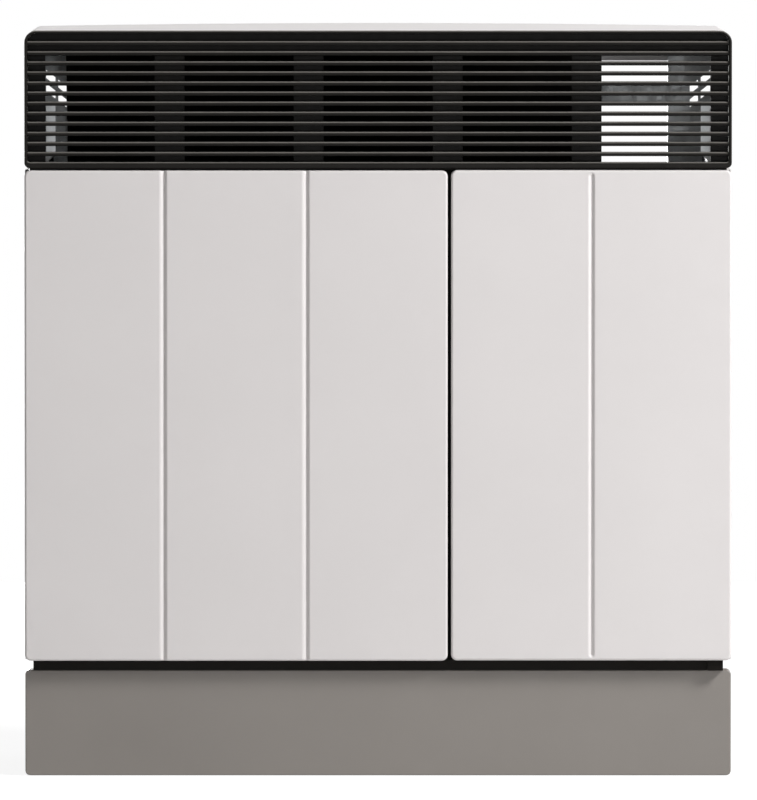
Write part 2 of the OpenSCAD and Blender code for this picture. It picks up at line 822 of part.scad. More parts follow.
module air_deflector() color(black) {
  y0 = deflector_y1 - deflector_t;
  arc_y = deflector_y1 - deflector_r;
  arc_z = deflector_z1 - deflector_r;
  along_x(deflector_x) {
    translate([arc_y, arc_z]) difference() {
      intersection() {
        circle(r = deflector_r, $fn = curve_steps);
        square(deflector_r);
      }
      circle(r = deflector_r - deflector_t, $fn = curve_steps);
    }
    translate([y0, deflector_z0]) square([deflector_t, arc_z - deflector_z0]);
    translate([y0, deflector_z0]) square([shield_y - y0, deflector_t]);
    translate([inner_front_y, deflector_z1 - deflector_t]) square([arc_y - inner_front_y, deflector_t]);
  }
}

module divider() color(zinc) difference() {
  box([divider_x, divider_x + divider_t], [inner_front_y, shield_y], [panel_z0, panel_z1]);
  box([divider_x - cut, divider_x + divider_t + cut], [-exchanger_y, exchanger_y], divider_hatch_z);
  box([divider_x - cut, divider_x + divider_t + cut],
    [deflector_y1 - deflector_t - divider_clear, shield_y + cut],
    [deflector_z0 - divider_clear, panel_z1 + cut]);
}

module exchanger_supports() color(zinc)
  for (x0 = supports_x)
    tube_y([x0, x0 + rail_w], [floor_front_y + support_inset, floor_rear_y - support_inset],
      [panel_z0, panel_z0 + support_h], frame_t);

// Heat exchanger

function rib_places() = let (
  n = floor((exchanger_x1 - exchanger_x0 - 2*rib_margin)/rib_pitch),
  x0 = (exchanger_x0 + exchanger_x1 - n*rib_pitch)/2
) [for (i = [0:n]) x0 + i*rib_pitch];

// Half of the exchanger's body, shrunk by inset, its seam on the plane y = 0
module half_body(inset, ribs_x) {
  box([exchanger_x0 + inset, exchanger_x1 - inset], [-exchanger_y + inset, inset > 0 ? cut : 0],
    [exchanger_z0 + inset, exchanger_z1 - inset]);
  for (x = ribs_x) rod_z(x, -exchanger_y, [rib_z0 + inset, rib_z1 - inset], rib_r - inset);
}

// Pressed half shell with its seam flange and half of the burner hatch
module half_shell(ribs_x) difference() {
  union() {
    half_body(0, ribs_x);
    box([exchanger_x0 - seam_w, exchanger_x1 + seam_w], [-exchanger_t, 0],
      [exchanger_z0 - seam_w, exchanger_z1 + seam_w]);
  }
  half_body(exchanger_t, ribs_x);
  box([exchanger_x1 - 2*exchanger_t, exchanger_x1 + seam_w + cut], [-hatch_y, cut], hatch_z);
  box([exchanger_x1, exchanger_x1 + seam_w + cut], [-2*exchanger_t, cut], flange_notch_z);
  for (s = plate_screws) rod_x([exchanger_x1 - screw_len, exchanger_x1 + cut], s[0], s[1], screw_hole_r);
}

module exchanger_front_shell() color(dark_steel) difference() {
  half_shell(rib_places());
  rod_y(sight_x, [-exchanger_y - cut, -exchanger_y + 2*exchanger_t], burner_z, sight_r - sight_lip);
}

module exchanger_rear_shell() color(dark_steel) difference() {
  mirror([0, 1, 0])
    half_shell([for (x = rib_places()) if (abs(x - flue_x) > air_box_w/2 + rib_r + air_box_flange + 2) x]);
  rod_y(flue_x, [exchanger_y - 2*exchanger_t, exchanger_y + cut], flue_z, flue_r);
  box([flue_x - air_slot_w/2, flue_x + air_slot_w/2], [exchanger_y - 2*exchanger_t, exchanger_y + cut],
    air_slot_z);
}

module plate_outline(x) box(x, [-exchanger_y + plate_inset, exchanger_y - plate_inset], plate_z);

module plate_screw_holes() for (s = plate_screws)
  rod_x([exchanger_x1 - cut, plate_x1 + cut], s[0], s[1], screw_hole_r);

module burner_gasket() color("#d8d2c4") difference() {
  plate_outline([exchanger_x1, plate_x]);
  box([exchanger_x1 - cut, plate_x + cut], [-hatch_y, hatch_y], hatch_z);
  plate_screw_holes();
}

module burner_plate() color(steel) difference() {
  plate_outline([plate_x, plate_x1]);
  plate_screw_holes();
  rod_x([plate_x - cut, plate_x1 + cut], 0, burner_z, throat_r);
  rod_x([plate_x - cut, plate_x1 + cut], pilot_at[0], pilot_at[1], pilot_r);
  rod_x([plate_x - cut, plate_x1 + cut], thermocouple_at[0], thermocouple_at[1], probe_r);
  rod_x([plate_x - cut, plate_x1 + cut], spark_at[0], spark_at[1], ceramic_r);
}

module burner() color(steel) difference() {
  union() {
    rod_x(burner_x, 0, burner_z, burner_d/2);
    rod_x([burner_end_x - cut, plate_x1], 0, burner_z, throat_r);
    rod_x([exchanger_x0 + exchanger_t, burner_x[0] + cut], 0, burner_z, burner_spigot_r);
  }
  rod_x([burner_x[0] + pipe_wall, burner_end_x - pipe_wall], 0, burner_z, burner_d/2 - pipe_wall);
  rod_x([burner_end_x - 2*pipe_wall, plate_x1 + cut], 0, burner_z, throat_r - pipe_wall);
  for (x = [burner_x[0] + port_pitch:port_pitch:burner_end_x - port_pitch])
    box([x, x + port_w], [-port_reach, port_reach], [burner_z + port_depth, burner_z + burner_d]);
}

module injector() color(brass) difference() {
  hex_x0 = plate_x1 + injector_flange_t;
  union() {
    rod_x([plate_x1 - nozzle_len, plate_x1 + cut], 0, burner_z, nozzle_r);
    rod_x([plate_x1, hex_x0], 0, burner_z, throat_r + nozzle_r);
    translate([hex_x0, 0, burner_z])
      rotate([0, 90, 0]) cylinder(r = injector_hex_r, h = injector_len - injector_flange_t, $fn = hex);
  }
  for (i = [1:air_hole_count])
    translate([0, air_hole_at*cos(i*360/air_hole_count), air_hole_at*sin(i*360/air_hole_count)])
      rod_x([plate_x1 - cut, hex_x0 + cut], 0, burner_z, air_hole_r);
  rod_x([plate_x1 - nozzle_len - cut, plate_x1 - jet_stop], 0, burner_z, jet_r);
}

module pilot_burner() color(steel) {
  head_x1 = burner_end_x - pilot_stem_len;
  rod_x([head_x1, plate_x1], pilot_at[0], pilot_at[1], pilot_r);
  rod_x([head_x1 - pilot_head_len, head_x1], pilot_at[0], pilot_at[1], pilot_r + pilot_head_wall);
}

module thermocouple() color(copper) {
  x1 = plate_x1 + probe_nut_len;
  x = knob_x + thermocouple_port[0];
  y = port_y + thermocouple_port[1];
  rod_x([burner_end_x - probe_len, x1], thermocouple_at[0], thermocouple_at[1], probe_r);
  pipe_run([
    [x, y, valve_z[0]], [x, y, thermocouple_at[1]], [x, thermocouple_at[0], thermocouple_at[1]],
    [x1 - probe_lead_lap, thermocouple_at[0], thermocouple_at[1]]
  ], lead_r, bend_r);
}

module spark_electrode() color("#e8e4da") {
  rod_x(ceramic_x, spark_at[0], spark_at[1], ceramic_r);
  rod_x([ceramic_x[0] - spark_tip_len, ceramic_x[0] + cut], spark_at[0], spark_at[1], spark_tip_r);
}

module sight_glass() color("#c8d8dc")
  rod_y(sight_x, [-exchanger_y - sight_glass_t, -exchanger_y], burner_z, sight_r);

module sight_glass_frame() color(steel) difference() {
  rod_y(sight_x, [-exchanger_y - sight_frame_t, -exchanger_y], burner_z, sight_r + sight_frame_w);
  rod_y(sight_x, [-exchanger_y - sight_glass_t, -exchanger_y + cut], burner_z, sight_r);
  rod_y(sight_x, [-exchanger_y - sight_frame_t - cut, -exchanger_y], burner_z, sight_r - sight_lip);
}

// Flue and combustion air

module air_box() color(zinc) difference() {
  x = [flue_x - air_box_w/2, flue_x + air_box_w/2];
  union() {
    box(x, [exchanger_y, air_box_y1], air_box_z);
    box([x[0] - air_box_flange, x[1] + air_box_flange], [exchanger_y, exchanger_y + air_box_t],
      [air_box_z[0] - air_box_flange, air_box_z[1] + air_box_flange]);
  }
  box([x[0] + air_box_t, x[1] - air_box_t], [exchanger_y - cut, air_box_y1 - air_box_t],
    [air_box_z[0] + air_box_t, air_box_z[1] - air_box_t]);
  rod_y(flue_x, [air_box_y1 - 2*air_box_t, air_box_y1 + cut], flue_z, collar_r - pipe_wall);
}

module air_collar() color(zinc) difference() {
  union() {
    rod_y(flue_x, [air_box_y1, air_box_y1 + collar_flange_t], flue_z, collar_r + collar_flange_w);
    rod_y(flue_x, [air_box_y1, post_y], flue_z, collar_r + collar_step);
    rod_y(flue_x, [air_box_y1, rear_y], flue_z, collar_r);
  }
  rod_y(flue_x, [air_box_y1 - cut, rear_y + cut], flue_z, collar_r - pipe_wall);
}

module collar_gasket() color(black) difference() {
  rod_y(flue_x, [air_box_y1 + collar_flange_t, shield_y], flue_z, collar_r + collar_flange_w);
  rod_y(flue_x, [air_box_y1, shield_y + cut], flue_z, collar_r + collar_step);
}

module flue_pipe() color(zinc) difference() {
  rod_y(flue_x, [exchanger_y - exchanger_t, rear_y], flue_z, flue_r);
  rod_y(flue_x, [exchanger_y - exchanger_t - cut, rear_y + cut], flue_z, flue_r - pipe_wall);
}

// Controls

module control_fascia() color(zinc) difference() {
  x = [divider_x + divider_t, fascia_x1];
  y = [fascia_y, fascia_y + fascia_t];
  union() {
    box(x, y, [panel_z0, fascia_z1]);
    box(x, [fascia_y - fascia_foot, y[1]], [panel_z0, panel_z0 + fascia_t]);
    box([x[0], x[0] + fascia_t], [fascia_y, fascia_y + fascia_lip], [panel_z0, fascia_z1]);
  }
  rod_y(knob_x, [y[0] - cut, y[1] + cut], knob_z, spindle_r + spindle_clear);
  rod_y(igniter_x, [y[0] - cut, y[1] + cut], knob_z, igniter_r);
}

module gas_valve() color("#a9abac") difference() {
  union() {
    box(valve_x, valve_y, valve_z);
    rod_z(knob_x, port_y - regulator_setback, [valve_z[1] - cut, valve_z[1] + regulator_h], regulator_r);
    rod_z(inlet_x, port_y, [valve_z[0] - outlet_boss_h, valve_z[0] + cut], outlet_boss_r);
  }
  rod_y(knob_x, [valve_y[0] - cut, spindle_end_y + knob_travel + plunger_end_gap], knob_z,
    spindle_r + running_fit);
  rod_y(knob_x, [spindle_end_y, plunger_y[1] + knob_travel + plunger_end_gap], knob_z,
    plunger_r + running_fit);
}

module valve_plunger() color(brass)
  rod_y(knob_x, plunger_y, knob_z, plunger_r);

module knob_spindle() color(brass)
  rod_y(knob_x, [knob_y0 + knob_cap_t, spindle_end_y], knob_z, spindle_r);

module control_knob() color(black) difference() {
  rim_y0 = knob_y0 + knob_h - knob_rim_h;
  union() {
    rod_y(knob_x, [rim_y0, knob_y0 + knob_h], knob_z, knob_d/2);
    rod_y(knob_x, [knob_y0, rim_y0 + cut], knob_z, knob_d/2 - knob_step);
  }
  rod_y(knob_x, [knob_y0 + knob_cap_t, knob_y0 + knob_h + cut], knob_z, spindle_r);
}

module igniter_body() color(black) difference() {
  union() {
    rod_y(igniter_x, [igniter_y[0], fascia_y], knob_z, igniter_r + igniter_flange);
    rod_y(igniter_x, igniter_y, knob_z, igniter_r);
    rod_y(igniter_x, [fascia_y + fascia_t, fascia_y + fascia_t + igniter_nut_t], knob_z,
      igniter_r + igniter_flange);
  }
  rod_y(igniter_x, [igniter_y[0] - cut, button_y1 + button_travel + igniter_end_gap], knob_z,
    button_r + running_fit);
}

module igniter_button() color("#b23a2e")
  rod_y(igniter_x, [button_y0, button_y1], knob_z, button_r);

module main_gas_pipe() color(copper) {
  x0 = plate_x1 + injector_len;
  x = knob_x + main_port_x;
  pipe_run([
    [x, port_y, valve_z[0]], [x, port_y, burner_z], [x, 0, burner_z], [x0, 0, burner_z]
  ], gas_r, pipe_bend_r);
  rod_x([x0, x0 + pipe_nut_h], 0, burner_z, gas_r + pipe_nut_wall);
  rod_z(x, port_y, [valve_z[0] - pipe_nut_h, valve_z[0]], gas_r + pipe_nut_wall);
}

module pilot_pipe() color(copper) {
  x = knob_x + pilot_port[0];
  y = port_y + pilot_port[1];
  pipe_run([
    [x, y, valve_z[0]], [x, y, pilot_at[1]], [x, pilot_at[0], pilot_at[1]],
    [plate_x1, pilot_at[0], pilot_at[1]]
  ], small_pipe_r, bend_r);
}

module ignition_lead() color("#b23a2e")
  pipe_run([
    [igniter_x, igniter_y[1], knob_z],
    [igniter_x, spark_at[0], knob_z],
    [igniter_x, spark_at[0], spark_at[1]],
    [ceramic_x[1], spark_at[0], spark_at[1]]
  ], small_pipe_r, bend_r);

module thermostat_sensor() color(copper) {
  x = sensor_x[1] + capillary_out;
  z = valve_z[1] - capillary_drop;
  rod_x(sensor_x, sensor_y, sensor_z, sensor_r);
  pipe_run([
    [valve_x[1], port_y, z], [x, port_y, z], [x, port_y, sensor_z], [x, sensor_y, sensor_z],
    [sensor_x[1], sensor_y, sensor_z]
  ], capillary_r, capillary_bend_r);
}

module sensor_clips() color(zinc)
  for (x0 = clips_x)
    difference() {
      box([x0, x0 + clip_w], [fascia_y + fascia_t, sensor_y + sensor_r + clip_t],
        [sensor_z - clip_h/2, sensor_z + clip_h/2]);
      rod_x([x0 - cut, x0 + clip_w + cut], sensor_y, sensor_z, sensor_r);
    }

module gas_inlet() color(brass) {
  hex_z0 = inlet_z + inlet_len;
  rod_z(inlet_x, port_y, [inlet_z, hex_z0], inlet_d/2);
  translate([inlet_x, port_y, hex_z0]) cylinder(r = inlet_hex_r, h = inlet_hex_h, $fn = hex);
  rod_z(inlet_x, port_y, [hex_z0 + inlet_hex_h - cut, valve_z[0] - outlet_boss_h], inlet_neck_r);
}

module sheet_metal_screws() color(steel) {
  both_sides() for (z = screw_z) {
    rod_y(screw_x, [shield_y - screw_head_h, shield_y], z, screw_head_r);
    rod_y(screw_x, [shield_y - cut, shield_y + screw_len], z, screw_r);
  }
  for (s = plate_screws) {
    rod_x([plate_x1, plate_x1 + screw_head_h], s[0], s[1], screw_head_r);
    rod_x([plate_x1 - screw_len, plate_x1 + cut], s[0], s[1], screw_r);
  }
}

front_panel();
side_panel_left();
side_panel_right();
hood();
control_door();
door_stiffener();
door_striker();
hinge_bushes();
hinge_pins();
magnet_catch();
door_jamb();
grille_rim();
grille_bars();
grille_uprights();
grille_top_strip();
joint_strip();
joint_rails();
plinth();
leg_left();
leg_right();
floor_front_rail();
floor_rear_rail();
floor_side_rails();
post_left();
post_right();
tie_rail();
rear_shield();
wall_brackets();
air_deflector();
divider();
exchanger_supports();
exchanger_front_shell();
exchanger_rear_shell();
burner_plate();
burner_gasket();
burner();
injector();
pilot_burner();
thermocouple();
spark_electrode();
sight_glass();
sight_glass_frame();
air_box();
air_collar();
collar_gasket();
flue_pipe();
control_fascia();
gas_valve();
valve_plunger();
knob_spindle();
control_knob();
igniter_body();
igniter_button();
main_gas_pipe();
pilot_pipe();
ignition_lead();
thermostat_sensor();
sensor_clips();
gas_inlet();
sheet_metal_screws();
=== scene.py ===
"""A balanced-flue gas convector heater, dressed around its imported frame.

Each sub-assembly is a class that models its own pieces and gives them their finishes.
Lengths are in metres; MM turns a size in millimetres into metres.
"""

import json
import logging
import math
from collections.abc import Callable, Sequence
from dataclasses import dataclass
from enum import Enum
from typing import Self

import bmesh
import bpy
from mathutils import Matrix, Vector


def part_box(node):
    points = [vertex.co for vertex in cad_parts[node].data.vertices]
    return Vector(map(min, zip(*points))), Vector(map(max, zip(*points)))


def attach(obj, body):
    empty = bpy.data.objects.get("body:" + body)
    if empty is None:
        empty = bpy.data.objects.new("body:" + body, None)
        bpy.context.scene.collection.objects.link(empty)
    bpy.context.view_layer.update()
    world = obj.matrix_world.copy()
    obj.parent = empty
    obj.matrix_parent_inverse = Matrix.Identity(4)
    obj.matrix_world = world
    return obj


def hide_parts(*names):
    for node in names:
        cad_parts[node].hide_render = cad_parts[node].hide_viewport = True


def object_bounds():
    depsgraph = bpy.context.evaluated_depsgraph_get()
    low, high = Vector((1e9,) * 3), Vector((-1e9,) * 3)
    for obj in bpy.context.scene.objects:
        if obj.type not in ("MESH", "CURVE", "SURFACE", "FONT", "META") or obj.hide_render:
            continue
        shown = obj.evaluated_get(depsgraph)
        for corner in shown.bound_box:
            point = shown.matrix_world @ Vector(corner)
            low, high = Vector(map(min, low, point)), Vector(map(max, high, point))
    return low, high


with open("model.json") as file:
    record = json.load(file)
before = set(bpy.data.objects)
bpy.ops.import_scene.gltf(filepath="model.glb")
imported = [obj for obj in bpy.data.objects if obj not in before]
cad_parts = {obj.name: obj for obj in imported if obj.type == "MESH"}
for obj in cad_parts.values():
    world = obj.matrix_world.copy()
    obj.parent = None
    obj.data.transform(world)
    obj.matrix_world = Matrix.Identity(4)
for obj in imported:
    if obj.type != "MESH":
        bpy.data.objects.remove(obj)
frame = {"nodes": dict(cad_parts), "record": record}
CAD_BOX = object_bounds()

MM = 0.001
TINY = 0.02 * MM
MERGE = 0.002 * MM
FLAT = math.radians(0.3)
SHARP = math.radians(35)
NEARLY = 0.9
FINE_STEPS = 3
BEND_STEPS = 8
NUT_CORNER = 0.06

Point = Vector | tuple[float, float, float]
Corners = tuple[tuple[float, float, float], tuple[float, float, float]]
Colour = tuple[float, float, float]
Span = tuple[float, float]
Node = bpy.types.Node
Socket = bpy.types.NodeSocket
Tree = bpy.types.NodeTree
Test = Callable[[Vector], bool]

PATTERN: Span = (0.3, 0.7)
BLACK: Colour = (0, 0, 0)
WHITE: Colour = (1, 1, 1)

log = logging.getLogger("heater")


class Axis(Enum):
    """Directions that faces and edges are picked by."""

    RIGHT = (1, 0, 0)
    FRONT = (0, -1, 0)
    REAR = (0, 1, 0)
    UP = (0, 0, 1)
    DOWN = (0, 0, -1)

    def meets(self, way: Vector) -> bool:
        """Tells whether a way is nearly this one."""
        return way.normalized().dot(Vector(self.value)) > NEARLY


class Element(Enum):
    """What a mesh is picked by."""

    VERT = "verts"
    EDGE = "edges"
    FACE = "faces"


# Finishes


def empty_tree(owner: bpy.types.Material | bpy.types.World) -> Tree:
    """Empties a node tree.

    Args:
        owner: The material or world that it belongs to.

    Returns:
        The tree.
    """
    owner.use_nodes = True
    owner.node_tree.nodes.clear()
    return owner.node_tree


def feed(node: Node, inputs: dict[str | int, object]) -> Node:
    """Links and sets a node's inputs.

    Args:
        node: The node.
        inputs: For each input an output to link or a constant to set.

    Returns:
        The node.
    """
    for key, value in inputs.items():
        if isinstance(value, Socket):
            node.id_data.links.new(value, node.inputs[key])
        else:
            node.inputs[key].default_value = value
    return node


def add_node(tree: Tree, kind: str, inputs: dict[str | int, object]) -> Node:
    """Adds a shader node to a tree and feeds it."""
    return feed(tree.nodes.new(f"ShaderNode{kind}"), inputs)


def spaced(inputs: dict[str, object]) -> dict[str, object]:
    """Returns the inputs with the underscores in their names made spaces."""
    return {name.replace("_", " "): value for name, value in inputs.items()}


def shade(colour: Colour, factor: float) -> Colour:
    """Returns the colour made lighter or darker."""
    return tuple(min(1.0, part * factor) for part in colour)


@dataclass
class Finish:
    """A finish that the heater's pieces share, and its material's nodes."""

    name: str
    colour: Colour
    roughness: float = 0.5

    def __post_init__(self) -> None:
        """Makes the material, with one Principled shader on Object coordinates."""
        self.material = bpy.data.materials.new(self.name)
        self.tree = empty_tree(self.material)
        self.surface = self.add("BsdfPrincipled")
        self.add("OutputMaterial", Surface=self.surface.outputs["BSDF"])
        source = self.add("TexCoord")
        self.place = source.outputs["Object"]
        self.facing = source.outputs["Normal"]
        self.wire()

    def wire(self) -> None:
        """Wires the finish; each kind of finish has its own way."""
        raise NotImplementedError

    def add(self, kind: str, **inputs: object) -> Node:
        """Adds a node and feeds its inputs."""
        return add_node(self.tree, kind, spaced(inputs))

    def put(self, **inputs: object) -> None:
        """Feeds the Principled shader."""
        feed(self.surface, spaced(inputs))

    def noise(self, size: float, detail: float, factors: Point = (1, 1, 1)) -> Socket:
        """Adds a noise pattern.

        Args:
            size: The size of a blotch.
            detail: How many finer layers it has.
            factors: Stretch of the pattern along each axis.

        Returns:
            The pattern's value.
        """
        mapping = self.add("Mapping", Vector=self.place, Scale=factors)
        place = mapping.outputs["Vector"]
        return self.add("TexNoise", Vector=place, Scale=1 / size, Detail=detail).outputs["Fac"]

    def tones(self, value: Socket, *stops: tuple[float, Colour]) -> Socket:
        """Turns a value into a colour.

        Args:
            value: The pattern that picks the colour.
            stops: Places from 0 to 1, each with its colour.

        Returns:
            The colour.
        """
        ramp = self.add("ValToRGB", Fac=value)
        points = ramp.color_ramp.elements
        while len(points) < len(stops):
            points.new(1.0)
        for point, (spot, colour) in zip(points, stops):
            point.position = spot
            point.color = (*colour, 1)
        return ramp.outputs["Color"]

    def tint(self, value: Socket, colour: Colour, low: float, high: float) -> Socket:
        """Returns the colour, shaded by low to high over the pattern's middle range."""
        return self.tones(value, *zip(PATTERN, (shade(colour, low), shade(colour, high))))

    def wear(self, value: Socket, low: float, high: float) -> Socket:
        """Returns the roughness, shifted by low to high over the pattern's middle range."""
        node = self.add("MapRange", Value=value, From_Min=PATTERN[0], From_Max=PATTERN[1])
        ends = {"To Min": self.roughness + low, "To Max": self.roughness + high}
        return feed(node, ends).outputs["Result"]

    def relief(self, height: Socket, depth: float, strength: float) -> None:
        """Adds relief from a pattern, over any that is there already.

        Args:
            height: The pattern.
            depth: The relief's depth.
            strength: How much of it shows.
        """
        bump = self.add("Bump", Height=height, Distance=depth, Strength=strength)
        below = self.surface.inputs["Normal"].links
        if below:
            feed(bump, {"Normal": below[0].from_socket})
        self.put(Normal=bump.outputs["Normal"])


@dataclass
class PowderCoat(Finish):
    """Baked paint with a fine orange peel and slow shifts of tone."""

    peel_size: float = 1.6 * MM
    peel_depth: float = 0.03 * MM
    drift: float = 0.015
    gloss: float = 0.5
    drift_size: float = 140 * MM
    cloud_size: float = 30 * MM
    finer: float = 5

    def wire(self) -> None:
        """Wires tone, gloss and orange peel."""
        drift = self.noise(self.drift_size, 3)
        cloud = self.noise(self.cloud_size, 4)
        self.put(
            Base_Color=self.tint(drift, self.colour, 1 - self.drift, 1 + self.drift),
            Roughness=self.wear(cloud, -0.03, 0.03),
            Specular_IOR_Level=self.gloss,
        )
        self.relief(self.noise(self.peel_size, 1), self.peel_depth, 0.6)
        fine = self.noise(self.peel_size / self.finer, 1)
        self.relief(fine, self.peel_depth / self.finer, 0.4)


@dataclass
class Moulding(Finish):
    """Moulded plastic or rubber with a fine grain."""

    grain_size: float = 0.5 * MM
    grain_depth: float = 0.02 * MM
    gloss: float = 0.5
    # Colour of the painted highlight on faces that point up; None leaves it out.
    painted_top_highlight: Colour | None = None
    highlight_size: float = 18 * MM
    highlight_slope: Span = (0.3, 0.66)
    flow_size: float = 25 * MM
    rub_size: float = 7 * MM

    def wire(self) -> None:
        """Wires tone, a painted highlight on what faces up, wear of the gloss and grain."""
        tone = self.tint(self.noise(self.flow_size, 3), self.colour, 0.9, 1.15)
        # Painted highlight: faces that point up are lightened towards this colour, in place of the
        # light that falls on them from above.
        if self.painted_top_highlight is not None:
            upward = self.add("SeparateXYZ", Vector=self.facing).outputs["Z"]
            lit_top_mask = self.tones(upward, *zip(self.highlight_slope, (BLACK, WHITE)))
            highlight_tone = self.tint(self.noise(self.highlight_size, 4), self.painted_top_highlight, 0.9, 1)
            mix = self.add("Mix")
            mix.data_type = "RGBA"
            tone = feed(mix, {"Factor": lit_top_mask, 6: tone, 7: highlight_tone}).outputs[2]
        self.put(
            Base_Color=tone,
            Roughness=self.wear(self.noise(self.rub_size, 4), -0.05, 0.06),
            Specular_IOR_Level=self.gloss,
        )
        self.relief(self.noise(self.grain_size, 2), self.grain_depth, 0.5)


@dataclass
class ZincSheet(Finish):
    """Hot-dip zinc on steel: crystals a few millimetres wide, each with its own shade."""

    crystal: float = 7 * MM
    contrast: float = 0.12
    roll_size: float = 1.5 * MM
    roll_depth: float = 0.02 * MM
    roll: Point = (1, 1, 0.15)

    def wire(self) -> None:
        """Wires crystals, rolling marks and dulled patches."""
        cells = self.add("TexVoronoi", Vector=self.place, Scale=1 / self.crystal)
        crystals = self.add("SeparateColor", Color=cells.outputs["Color"]).outputs[0]
        dark, light = (shade(self.colour, 1 + way * self.contrast) for way in (-1, 1))
        self.put(
            Base_Color=self.tones(crystals, (0.0, dark), (1.0, light)),
            Roughness=self.wear(crystals, -0.05, 0.07),
            Metallic=1.0,
        )
        self.relief(self.noise(self.roll_size, 3, self.roll), self.roll_depth, 0.4)


@dataclass
class TurnedMetal(Finish):
    """Turned, drawn or cast bare metal with fine tool marks and a little tarnish."""

    tarnish: Colour = (0.2, 0.15, 0.1)
    marks: Point = (1, 1, 12)
    mark_depth: float = 0.01 * MM
    mark_size: float = 0.8 * MM
    cloud_size: float = 9 * MM

    def wire(self) -> None:
        """Wires tarnish, gloss and tool marks."""
        cloud = self.noise(self.cloud_size, 5)
        bright = shade(self.colour, 1.12)
        self.put(
            Base_Color=self.tones(
                cloud, (0.25, self.tarnish), (0.5, self.colour), (0.8, bright)
            ),
            Roughness=self.wear(cloud, 0.12, 0),
            Metallic=1.0,
        )
        self.relief(self.noise(self.mark_size, 2, self.marks), self.mark_depth, 0.5)


@dataclass
class Fibre(Finish):
    """Pressed mineral fibre."""

    fleck_size: float = 2 * MM
    flecks: Point = (1, 3, 1)
    depth: float = 0.2 * MM

    def wire(self) -> None:
        """Wires flecks and a soft, uneven surface."""
        flecks = self.noise(self.fleck_size, 6, self.flecks)
        tone = self.tint(flecks, self.colour, 0.8, 1.1)
        self.put(Base_Color=tone, Roughness=self.roughness, Sheen_Weight=0.2)
        self.relief(flecks, self.depth, 0.8)


@dataclass
class ClearGlass(Finish):
    """Heat-resistant glass with a faint bloom."""

    bloom_size: float = 12 * MM

    def wire(self) -> None:
        """Wires the bloom and the clear body."""
        bloom = self.noise(self.bloom_size, 4)
        self.put(
            Base_Color=self.tint(bloom, self.colour, 1, 1.06),
            Roughness=self.wear(bloom, 0, 0.06),
            Transmission_Weight=0.9,
            IOR=1.47,
        )


FINISHES: dict[str, Finish] = {
    "casing_paint": PowderCoat("white_powder_coat", (0.735, 0.705, 0.70), 0.36, gloss=0.3),
    "plinth_paint": PowderCoat("taupe_powder_coat", (0.226, 0.206, 0.188), 0.42, drift=0.03),
    # The grille bars get a painted highlight on their upward faces, in place of the light that
    # catches them from above.
    "grille_black": Moulding(
        "black_grille_moulding", (0.0075, 0.0065, 0.0055), 0.38, gloss=0.12,
        painted_top_highlight=(0.172, 0.163, 0.15),
    ),
    "black_paint": PowderCoat(
        "black_baked_paint", (0.009, 0.0078, 0.0068), 0.5, drift=0.06, gloss=0.06
    ),
    "galvanised": ZincSheet("galvanised_sheet", (0.33, 0.342, 0.35), 0.38),
    "shield_steel": ZincSheet("aluminised_sheet", (0.44, 0.46, 0.48), 0.48, 3 * MM, 0.05),
    "exchanger_steel": PowderCoat(
        "dark_heat_enamel", (0.05, 0.05, 0.055), 0.55, drift=0.15, peel_depth=0.06 * MM
    ),
    "burner_steel": TurnedMetal(
        "stainless_sheet", (0.46, 0.455, 0.45), 0.3, (0.3, 0.25, 0.2), (0.1, 1, 8)
    ),
    "gasket_fibre": Fibre("mineral_fibre", (0.70, 0.66, 0.58), 0.95),
    "brass": TurnedMetal("turned_brass", (0.62, 0.44, 0.17), 0.26, (0.36, 0.22, 0.08)),
    "copper": TurnedMetal("drawn_copper", (0.66, 0.33, 0.20), 0.3, (0.28, 0.13, 0.08)),
    "aluminium_tube": TurnedMetal("drawn_aluminium", (0.66, 0.67, 0.68), 0.3, (0.4, 0.4, 0.4)),
    "valve_aluminium": TurnedMetal(
        "cast_aluminium", (0.55, 0.56, 0.57), 0.42, (0.4, 0.41, 0.42), (1, 1, 1), 0.08 * MM
    ),
    "black_plastic": Moulding("black_knob_moulding", (0.02, 0.02, 0.021), 0.38),
    "red_plastic": Moulding("red_button_moulding", (0.50, 0.045, 0.03), 0.25),
    "nylon": Moulding("natural_nylon", (0.72, 0.71, 0.66), 0.45),
    "rubber": Moulding(
        "black_rubber", (0.018, 0.018, 0.018), 0.7, grain_depth=0.04 * MM, gloss=0.3
    ),
    "lead_silicone": Moulding("silicone_sleeve", (0.42, 0.055, 0.04), 0.45),
    "ceramic": Moulding("glazed_ceramic", (0.78, 0.75, 0.68), 0.2, grain_depth=0.005 * MM),
    "glass": ClearGlass("sight_window_glass", (0.80, 0.86, 0.86), 0.04),
    "screw_steel": TurnedMetal(
        "zinc_plated_steel", (0.56, 0.57, 0.58), 0.28, (0.36, 0.36, 0.35), (1, 1, 1)
    ),
}
MATERIALS = {slot: finish.material for slot, finish in FINISHES.items()}
SLOTS = {part["node"]: part["material_slot"] for part in frame["record"]["subparts"]}
BODIES = {
    node: body
    for body, nodes in frame["record"]["behaviour"]["bodies"].items()
    for node in nodes
}


# Bench


def clear_selection() -> None:
    """Leaves nothing selected."""
    bpy.ops.object.select_all(action="DESELECT")


def at(**levels: float) -> Test:
    """Returns a test for places that lie at these levels of x, y or z, or anywhere."""
    return lambda place: all(
        abs(getattr(place, axis) - level) < TINY for axis, level in levels.items()
    )


